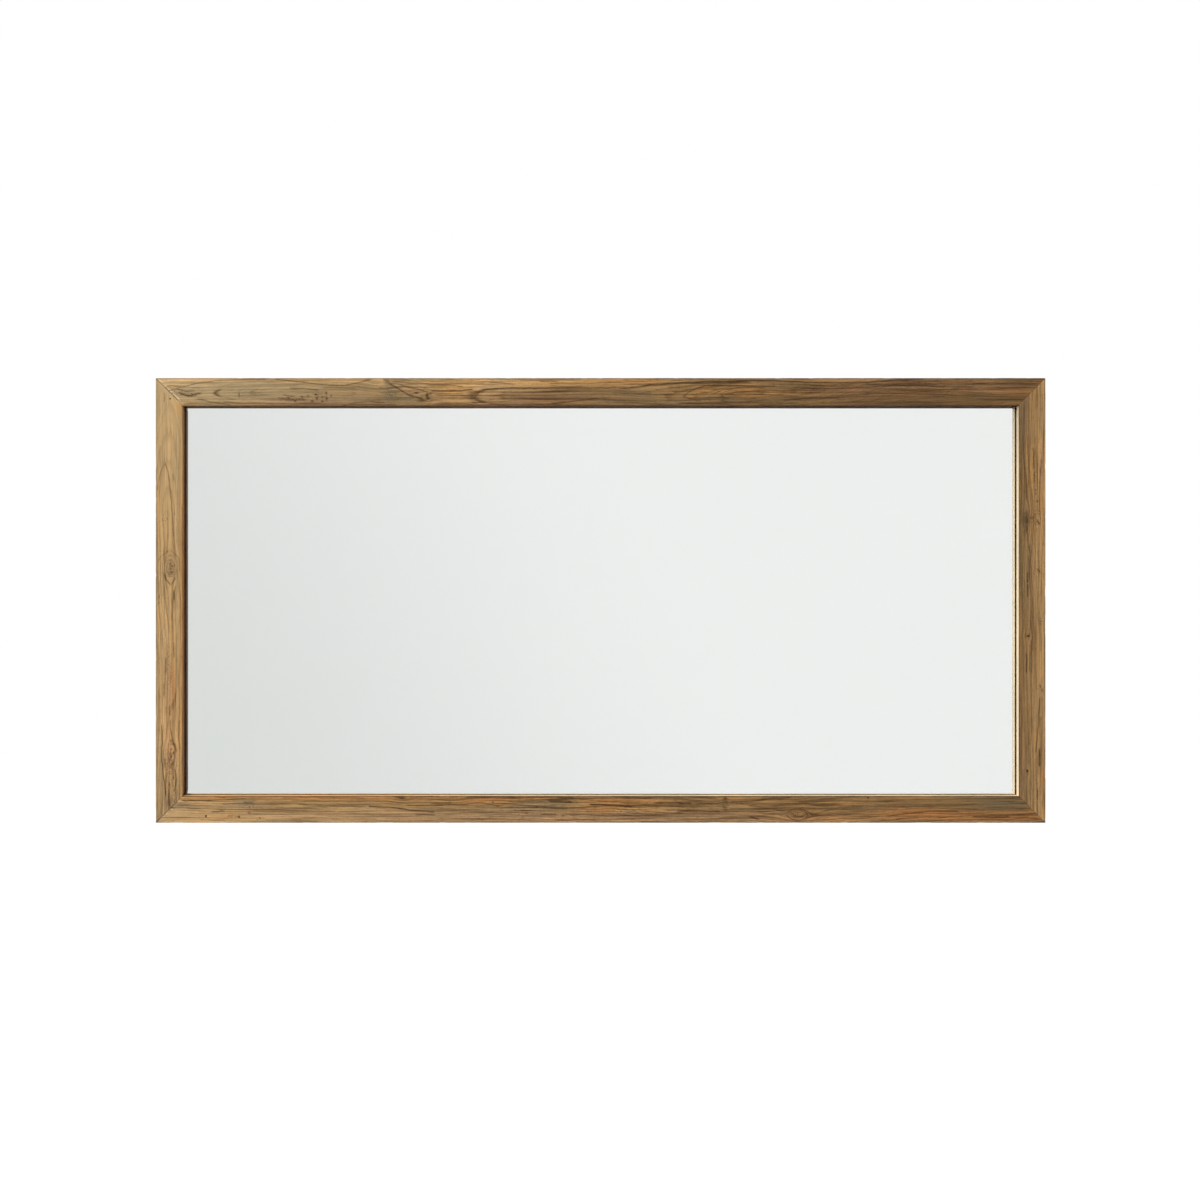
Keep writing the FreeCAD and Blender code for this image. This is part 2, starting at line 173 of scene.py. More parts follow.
def section_columns():
    """The outline of a member's section, as rows of depth, inward and the number of its side."""
    columns = []

    def run(start, end, steps, side):
        for k in range(steps):
            part = k / steps
            depth = start[0] + (end[0] - start[0]) * part
            inward = start[1] + (end[1] - start[1]) * part
            columns.append((depth, inward, side))

    def arc(centre, radius, turn, steps, side):
        for k in range(steps):
            angle = math.radians(turn + 90 * k / steps)
            depth = centre[0] - radius * math.cos(angle)
            inward = centre[1] + radius * math.sin(angle)
            columns.append((depth, inward, side))

    run((0, outer_arris), (0, face_width - inner_arris), 64, on_face)
    arc((inner_arris, face_width - inner_arris), inner_arris, 0, 4, on_inner_arris)
    run((inner_arris, face_width), (lip_depth, face_width), 12, on_lip)
    run((lip_depth, face_width), (lip_depth, glass_seat), 2, in_rebate)
    run((lip_depth, glass_seat), (board_step, glass_seat), 2, in_rebate)
    run((board_step, glass_seat), (board_step, board_seat), 2, in_rebate)
    run((board_step, board_seat), (member_depth, board_seat), 4, in_rebate)
    run((member_depth, board_seat), (member_depth, back_arris), 14, on_back)
    arc((member_depth - back_arris, back_arris), back_arris, 180, 3, on_back)
    run((member_depth - back_arris, 0), (outer_arris, 0), 18, on_outside)
    arc((outer_arris, outer_arris), outer_arris, 270, 4, on_outer_arris)
    return np.array(columns)


def spread_rows(core_half, count, busy):
    """Places of the rows along a member, set closer together near the busy places."""
    grid = np.linspace(-core_half, core_half, 4001)
    density = np.ones_like(grid)
    for place, reach in busy:
        density = density + 1.3 * np.exp(-((grid - place) / reach) ** 2)
    total = np.cumsum(density)
    total = (total - total[0]) / (total[-1] - total[0])
    return np.interp(np.linspace(0, 1, count), total, grid)


def put(name, data):
    """A new object in the scene."""
    thing = bpy.data.objects.new(name, data)
    bpy.context.scene.collection.objects.link(thing)
    return thing


def teak_member(name, wood, middle, inward_axis, half_length, along_axis, core_rows, strip, strips):
    """One mitred member as a mesh, with its figure kept as values on its points.

    Its lip can stand a few mm fuller than the plain solid's, up to where it meets the mitre.
    """
    columns = section_columns()
    section = columns[:, :2]
    col_depth, col_inward = columns[:, 0], columns[:, 1]
    side = columns[:, 2].astype(int)
    count = len(columns)
    core_half = half_length - mitre_zone
    core = spread_rows(core_half, core_rows, wood["busy"])
    for at in (-half_length + strip * k for k in range(1, strips)):
        core[np.abs(core - at).argmin()] = at
    end_rows = 24
    end_steps = np.linspace(0, 1, end_rows + 1)[1:]
    tail = mitre_zone - col_inward - mitre_gap
    rows = [-core_half - step * tail for step in end_steps[::-1]]
    rows += [np.full(count, place) for place in core]
    rows += [core_half + step * tail for step in end_steps]
    along = np.array(rows)
    inward = np.broadcast_to(col_inward, along.shape)
    depth = np.broadcast_to(col_depth, along.shape)
    figure = wood_figure(wood, along, inward, depth)
    bent, growth, tone, warmth, blush, marks, specks, cut, ring_show, contrast = figure

    # The lip and the sides have their own tone, much of it painted light and shade on the lip and the inner
    # arris, and the arrises are worn
    # The side tones also paint thin lines of light and shade along the inner arris
    tone = tone * np.array(wood["side_tones_and_shading"])[side]
    lip = (side == on_lip).astype(float)
    # The lip is painted brighter where it faces the key light, most of all on the bottom rail and the right
    # stile
    tone = np.where(side == on_lip, tone * drawn(wood["lip_painted_light"], along, 40), tone)
    marks = marks * (1 - 0.75 * lip)
    contrast = contrast * (1 - wood["lip_smooth"] * lip)
    ring_show = ring_show * (1 - wood["lip_smooth"] * lip)
    # Painted shade darkens the lip towards the glass, as a shadow where it meets the mirror, and its front
    # edge is dimmed
    fade, fade_reach = wood["lip_painted_shade"]
    tone = tone * (1 - fade * np.exp(-((lip_depth - depth) / fade_reach) ** 2) * lip)
    dark, dark_reach = wood["lip_start"]
    tone = tone * (1 - dark * np.exp(-(depth / dark_reach) ** 2) * lip)
    to_mitre = half_length - np.abs(along) - inward
    warmth = warmth + np.array(wood["side_warmth"])[side]
    seed = wood["seed"]
    edge = (side == on_outer_arris).astype(float) + 0.7 * (side == on_inner_arris)
    rub = ripple(along / 60, inward * 0 + 3, seed + 9)
    wear_and_lip_light = edge * np.clip(0.2 + 0.3 * rub, 0, 1)
    rub_reach = 2.5
    rubbed = np.exp(-inward / rub_reach) * np.clip(0.4 + rub, 0, 1) * (side == on_face)
    wear_and_lip_light = np.maximum(wear_and_lip_light, 0.25 * rubbed)
    joint_dark, joint_pale = (np.where(along < 0, *wood[key]) for key in ("joint_dark", "joint_pale"))
    splintered = np.clip(0.6 + 0.7 * ripple(inward / 6, inward * 0, seed + 8), 0, 1) * (side == on_face)
    stain_reach = 1.7
    marks = np.maximum(marks, joint_dark * splintered * np.exp(-(to_mitre / stain_reach) ** 2))
    raw_middle, raw_reach = 3.6, 2.4
    raw = joint_pale * splintered * np.exp(-((to_mitre - raw_middle) / raw_reach) ** 2)
    wear_and_lip_light = np.maximum(wear_and_lip_light, raw)
    tone = tone * (1 + 0.55 * raw)
    # The lip is also painted paler where the key light falls on it, through the wear value
    wear_and_lip_light = np.maximum(wear_and_lip_light, drawn(wood["lip_pale_painted_light"], along, 40) * lip)
    nick = np.clip(ripple(along / 17, inward * 0, seed + 10) - 0.55, 0, 1)
    nick = nick + 0.5 * np.clip(ripple(along / 5, inward * 0, seed + 11) - 0.7, 0, 1)
    shown = (side != in_rebate).astype(float)
    furrow = 0.5 + 0.5 * ripple(bent * 0.5, along / 75, seed + 12)
    fine = 0.5 + 0.5 * ripple(bent * 1.15, along / 30, seed + 13)
    furrow_depth, fine_depth, nick_depth = 0.10, 0.05, 1.1
    sunk = (furrow_depth * furrow + fine_depth * fine + cut) * shown + edge * nick_depth * nick
    forward = np.roll(section, -1, axis=0) - np.roll(section, 1, axis=0)
    forward = forward / np.linalg.norm(forward, axis=1)[:, None]
    placed_depth = depth + sunk * forward[:, 1]
    placed_inward = inward - sunk * forward[:, 0]
    lip_share = np.clip((inward - glass_seat) / (face_width - inner_arris - glass_seat), 0, 1)
    fuller, run_out = wood["lip_full"]
    placed_inward = placed_inward + fuller * lip_share * np.clip(to_mitre / run_out, 0, 1)
    axis_a = np.array(along_axis, float)
    axis_s = np.array(inward_axis, float)
    points = np.array(middle, float) + along[..., None] * axis_a + placed_inward[..., None] * axis_s
    points[..., 1] += placed_depth
    flat = (points * MM).reshape(-1, 3)

    # Faces run round the section, and turn over where the two axes are a left-handed pair
    row_count = len(along)
    turned = np.cross(axis_a, axis_s)[1] < 0
    row_start = np.arange(row_count - 1)[:, None] * count
    first = row_start + np.arange(count)[None, :]
    following = row_start + (np.arange(count)[None, :] + 1) % count
    quads = np.stack([first, first + count, following + count, following], axis=-1).reshape(-1, 4)
    if turned:
        quads = quads[:, ::-1]
    outline = [Vector((p[0], p[1], 0)) for p in section]
    cap = np.array(tessellate_polygon([outline]))
    edge_1 = section[cap[0][1]] - section[cap[0][0]]
    edge_2 = section[cap[0][2]] - section[cap[0][0]]
    if edge_1[0] * edge_2[1] - edge_1[1] * edge_2[0] < 0:
        cap = cap[:, ::-1]
    start_cap = cap if turned else cap[:, ::-1]
    end_cap = (cap[:, ::-1] if turned else cap) + (row_count - 1) * count
    faces = quads.tolist() + start_cap.tolist() + end_cap.tolist()
    mesh = bpy.data.meshes.new(name)
    mesh.from_pydata(flat.tolist(), [], faces)

    # Values that the teak finish reads
    grain_spacing = 5000.0
    shift = grain_spacing * (seed % 7)
    values = {
        "grain": np.stack([growth, bent, along + shift], axis=-1),
        "shade": np.stack([tone, warmth, marks], axis=-1),
        # The third of these values holds the worn edges and the painted light on the lip
        "flaws_and_light": np.stack([specks, blush, wear_and_lip_light], axis=-1),
        "show": np.stack([ring_show, contrast, np.zeros_like(contrast)], axis=-1),
    }
    for label, value in values.items():
        attribute = mesh.attributes.new(label, "FLOAT_VECTOR", "POINT")
        attribute.data.foreach_set("vector", value.astype(np.float32).ravel())

    # The member is unrolled into strips that lie one above another
    strip_gap, strip_margin, cap_spacing, cap_margin = 8, 2, 64, np.array([4, 6])
    steps = np.linalg.norm(np.diff(np.vstack([section, section[:1]]), axis=0), axis=1)
    girth = np.concatenate([[0], np.cumsum(steps)])
    strip_height = girth[-1] + strip_gap
    middles = along[:-1, :].mean(axis=1) * 0.5 + along[1:, :].mean(axis=1) * 0.5
    strip_of = np.clip(np.floor((middles + half_length) / strip), 0, strips - 1)[:, None, None]
    along_next = np.roll(along, -1, axis=1)
    corner_a = np.stack([along[:-1], along[1:], along_next[1:], along_next[:-1]], axis=-1)
    corner_g = np.stack([girth[:-1], girth[:-1], girth[1:], girth[1:]], axis=-1)
    across_uv = (corner_a + half_length - strip_of * strip) / strip
    up_uv = (np.broadcast_to(corner_g, corner_a.shape) + strip_of * strip_height + strip_margin) / strip
    sheet = np.stack([across_uv, up_uv], axis=-1).reshape(-1, 4, 2)
    if turned:
        sheet = sheet[:, ::-1]
    cap_uv = (section[:, ::-1] + cap_margin + np.array([0, strips * strip_height])) / strip
    start_uv = cap_uv[start_cap].reshape(-1, 2)
    end_uv = (cap_uv[end_cap - (row_count - 1) * count] + np.array([cap_spacing / strip, 0])).reshape(-1, 2)
    unrolled = np.vstack([sheet.reshape(-1, 2), start_uv, end_uv])
    layer = mesh.uv_layers.new(name="OFBake")
    layer.data.foreach_set("uv", unrolled.astype(np.float32).ravel())
    mesh.shade_smooth()
    mesh.set_sharp_from_angle(angle=sharp_angle)
    member = put(name + "_teak", mesh)
    member.data.materials.append(teak)
    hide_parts(name)
    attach(member, "frame")


def wire(tree, node, inputs):
    """Links or fills the inputs of a node."""
    for name, value in inputs.items():
        if isinstance(value, bpy.types.NodeSocket):
            tree.links.new(value, node.inputs[name])
        else:
            node.inputs[name].default_value = value


def add_node(tree, kind, inputs=None, **options):
    """A shader node with its options set and its inputs wired."""
    node = tree.nodes.new(kind)
    for name, value in options.items():
        setattr(node, name, value)
    wire(tree, node, inputs or {})
    return node


def maths(tree, operation, *values):
    """The result of a Math node."""
    return add_node(tree, "ShaderNodeMath", dict(enumerate(values)), operation=operation).outputs[0]


def times(tree, first, second):
    """The product of two values."""
    return maths(tree, "MULTIPLY", first, second)


def scale_add(tree, value, scale, offset):
    """A value scaled, with an offset added."""
    return maths(tree, "MULTIPLY_ADD", value, scale, offset)


def split(tree, vector):
    """The three parts of a vector."""
    return add_node(tree, "ShaderNodeSeparateXYZ", {0: vector}).outputs


def stretched(tree, place, factors):
    """A place scaled along its three axes."""
    return add_node(tree, "ShaderNodeVectorMath", {0: place, 1: factors}, operation="MULTIPLY").outputs[0]


def brightened(tree, colour, level):
    """A colour made lighter or darker."""
    return add_node(tree, "ShaderNodeVectorMath", {0: colour, "Scale": level}, operation="SCALE").outputs[0]


def step_up(tree, value, low, high, to_low=0.0, to_high=1.0):
    """A soft step from one value to another."""
    inputs = {0: value, 1: low, 2: high, 3: to_low, 4: to_high}
    return add_node(tree, "ShaderNodeMapRange", inputs, interpolation_type="SMOOTHSTEP").outputs[0]


def noise(tree, vector, scale, detail=3.0, roughness=0.55):
    """The value of a noise texture."""
    inputs = {"Vector": vector, "Scale": scale, "Detail": detail, "Roughness": roughness}
    return add_node(tree, "ShaderNodeTexNoise", inputs).outputs["Fac"]


def mix_colours(tree, amount, first, second, blend_type="MIX"):
    """The result of a Mix node for colours."""
    inputs = {0: amount, 6: first, 7: second}
    return add_node(tree, "ShaderNodeMix", inputs, data_type="RGBA", blend_type=blend_type).outputs[2]


def paint(red, green, blue):
    """A colour from its 0 to 255 values, as the shader needs it."""
    levels = []
    for level in (red, green, blue):
        part = level / 255
        levels.append(part / 12.92 if part <= 0.04045 else ((part + 0.055) / 1.055) ** 2.4)
    return (*levels, 1.0)


def shade_group(name, inputs, outputs):
    """An empty shader node group with named sockets."""
    tree = bpy.data.node_groups.new(name, "ShaderNodeTree")
    for in_out, sockets in (("INPUT", inputs), ("OUTPUT", outputs)):
        for label, kind in sockets.items():
            tree.interface.new_socket(name=label, in_out=in_out, socket_type="NodeSocket" + kind)
    return tree, tree.nodes.new("NodeGroupInput").outputs, tree.nodes.new("NodeGroupOutput")


def place_group(tree, group, inputs):
    """The outputs of a node group placed in a material."""
    return add_node(tree, "ShaderNodeGroup", inputs, node_tree=group).outputs


def add_bump(tree, shader, height, distance, strength=0.6):
    """Feeds a height in mm into a shader as bump."""
    inputs = {"Strength": strength, "Distance": distance * MM, "Height": height}
    wire(tree, shader, {"Normal": add_node(tree, "ShaderNodeBump", inputs).outputs[0]})


def new_finish(name):
    """An empty material, with its tree and its shader."""
    material = bpy.data.materials.new(name)
    material.use_nodes = True
    return material, material.node_tree, material.node_tree.nodes["Principled BSDF"]


teak_figure, given, result = shade_group(
    "teak figure",
    {"Grain": "Vector", "Shade": "Vector", "Flaws_and_light": "Vector", "Show": "Vector"},
    {"Colour": "Color", "Roughness": "Float", "Height": "Float"},
)
tree = teak_figure
growth, bent, along = split(tree, given["Grain"])
tone, warmth, marks = split(tree, given["Shade"])
specks, blush, wear_and_lip_light = split(tree, given["Flaws_and_light"])
ring_show, contrast = split(tree, given["Show"])[:2]
ring_spacing = 4.6


def grain_place(across, stretch):
    """A place in the wood with its length drawn out along the grain."""
    length = times(teak_figure, along, stretch)
    return add_node(teak_figure, "ShaderNodeCombineXYZ", {0: across, 1: length}).outputs[0]


blotch = noise(tree, grain_place(bent, 0.12), 0.05, 3)
streak = noise(tree, grain_place(bent, 0.018), 0.3, 4, 0.62)
streak = step_up(tree, streak, 0.26, 0.74)
fibre = noise(tree, grain_place(bent, 0.07), 1.15, 3, 0.6)
fleck = noise(tree, grain_place(bent, 0.085), 0.56, 2)
pore = noise(tree, grain_place(bent, 0.08), 1.7, 2)
oil = noise(tree, grain_place(growth, 0.016), 0.22, 3)
dash = noise(tree, grain_place(bent, 0.035), 0.34, 2, 0.5)
ring_wander = times(tree, streak, 0.4)
ring_wander = scale_add(tree, fleck, 0.12, ring_wander)
ring_count = scale_add(tree, growth, 1 / ring_spacing, ring_wander)
ring_part = maths(tree, "FRACT", ring_count)
ring_dark = times(tree, step_up(tree, ring_part, 0.55, 0.94), step_up(tree, ring_part, 1.0, 0.95))
ring_dark = times(tree, ring_dark, step_up(tree, blotch, 0.3, 0.65, 0.35, 1.0))
ring_dark = times(tree, ring_dark, ring_show)
fleck_dark = times(tree, step_up(tree, fleck, 0.54, 0.68), contrast)
pore_dark = times(tree, step_up(tree, pore, 0.56, 0.70), contrast)
oil_dark = times(tree, step_up(tree, oil, 0.54, 0.72), contrast)
dash_dark = times(tree, step_up(tree, dash, 0.58, 0.67), contrast)
speck_noise = noise(tree, grain_place(bent, 0.5), 0.5, 2, 0.55)
speck_dark = times(tree, step_up(tree, speck_noise, 0.55, 0.62, 0.0, 1.3), specks)
dark = times(tree, marks, step_up(tree, fibre, 0.25, 0.65, 0.8, 1.15))
dark = times(tree, dark, step_up(tree, fleck, 0.36, 0.56, 0.8, 1.2))
sunk = times(tree, dark, -0.9)
dark = maths(tree, "MAXIMUM", dark, speck_dark)
hue = scale_add(tree, warmth, 0.5, 0.5)
hue = scale_add(tree, maths(tree, "SUBTRACT", blotch, 0.5), 0.45, hue)
hue_swing = times(tree, maths(tree, "SUBTRACT", streak, 0.5), contrast)
hue = scale_add(tree, hue_swing, 0.28, hue)
ramp = add_node(tree, "ShaderNodeValToRGB", {0: hue})
stops = ramp.color_ramp.elements
stops[0].position = 0.0
stops[0].color = paint(156, 138, 104)
stops[1].position = 1.0
stops[1].color = paint(182, 124, 71)
for position, colour in ((0.3, (163, 138, 100)), (0.55, (168, 136, 92)), (0.78, (175, 131, 79))):
    stops.new(position).color = paint(*colour)
colour = mix_colours(tree, blush, ramp.outputs[0], paint(168, 128, 102))
fibre_swing = times(tree, maths(tree, "SUBTRACT", fibre, 0.5), contrast)
level = scale_add(tree, hue_swing, 1.15, 1.0)
level = times(tree, level, scale_add(tree, fibre_swing, 0.7, 1.0))
level = times(tree, level, scale_add(tree, blotch, 0.5, 0.75))
dark_streaks = (
    (ring_dark, -0.48), (pore_dark, -0.34), (oil_dark, -0.45), (fleck_dark, -0.26), (dash_dark, -0.42),
)
for streaks, depth in dark_streaks:
    level = times(tree, level, scale_add(tree, streaks, depth, 1.045))
deep = step_up(tree, level, 1.1, 0.45)
colour = mix_colours(tree, deep, colour, (1.0, 0.88, 0.76, 1), "MULTIPLY")
level = times(tree, level, tone)
# Worn places, and the painted light on the lip, mix towards a pale grey tan
colour = mix_colours(tree, times(tree, wear_and_lip_light, 0.7), colour, paint(166, 152, 130))
dark = maths(tree, "MINIMUM", times(tree, dark, 0.92), 0.96)
colour = mix_colours(tree, dark, brightened(tree, colour, level), paint(62, 39, 20))
dull = scale_add(tree, fibre, 0.22, 0.5)
dull = scale_add(tree, dark, 0.2, dull)
dull = scale_add(tree, wear_and_lip_light, -0.1, dull)
height = scale_add(tree, ring_dark, 0.35, times(tree, fibre, 0.6))
height = scale_add(tree, pore_dark, -0.7, height)
wire(tree, result, {"Colour": colour, "Roughness": dull, "Height": maths(tree, "ADD", height, sunk)})

teak, tree, shader = new_finish("reclaimed teak, brushed and waxed")
inputs = {}
for label in ("grain", "shade", "flaws_and_light", "show"):
    reader = add_node(tree, "ShaderNodeAttribute", attribute_name=label, attribute_type="GEOMETRY")
    inputs[label.capitalize()] = reader.outputs["Vector"]
figure = place_group(tree, teak_figure, inputs)
base = {"Base Color": figure["Colour"], "Roughness": figure["Roughness"]}
wire(tree, shader, {**base, "IOR": 1.45, "Specular IOR Level": 0.22})
add_bump(tree, shader, figure["Height"], 0.3, 0.7)

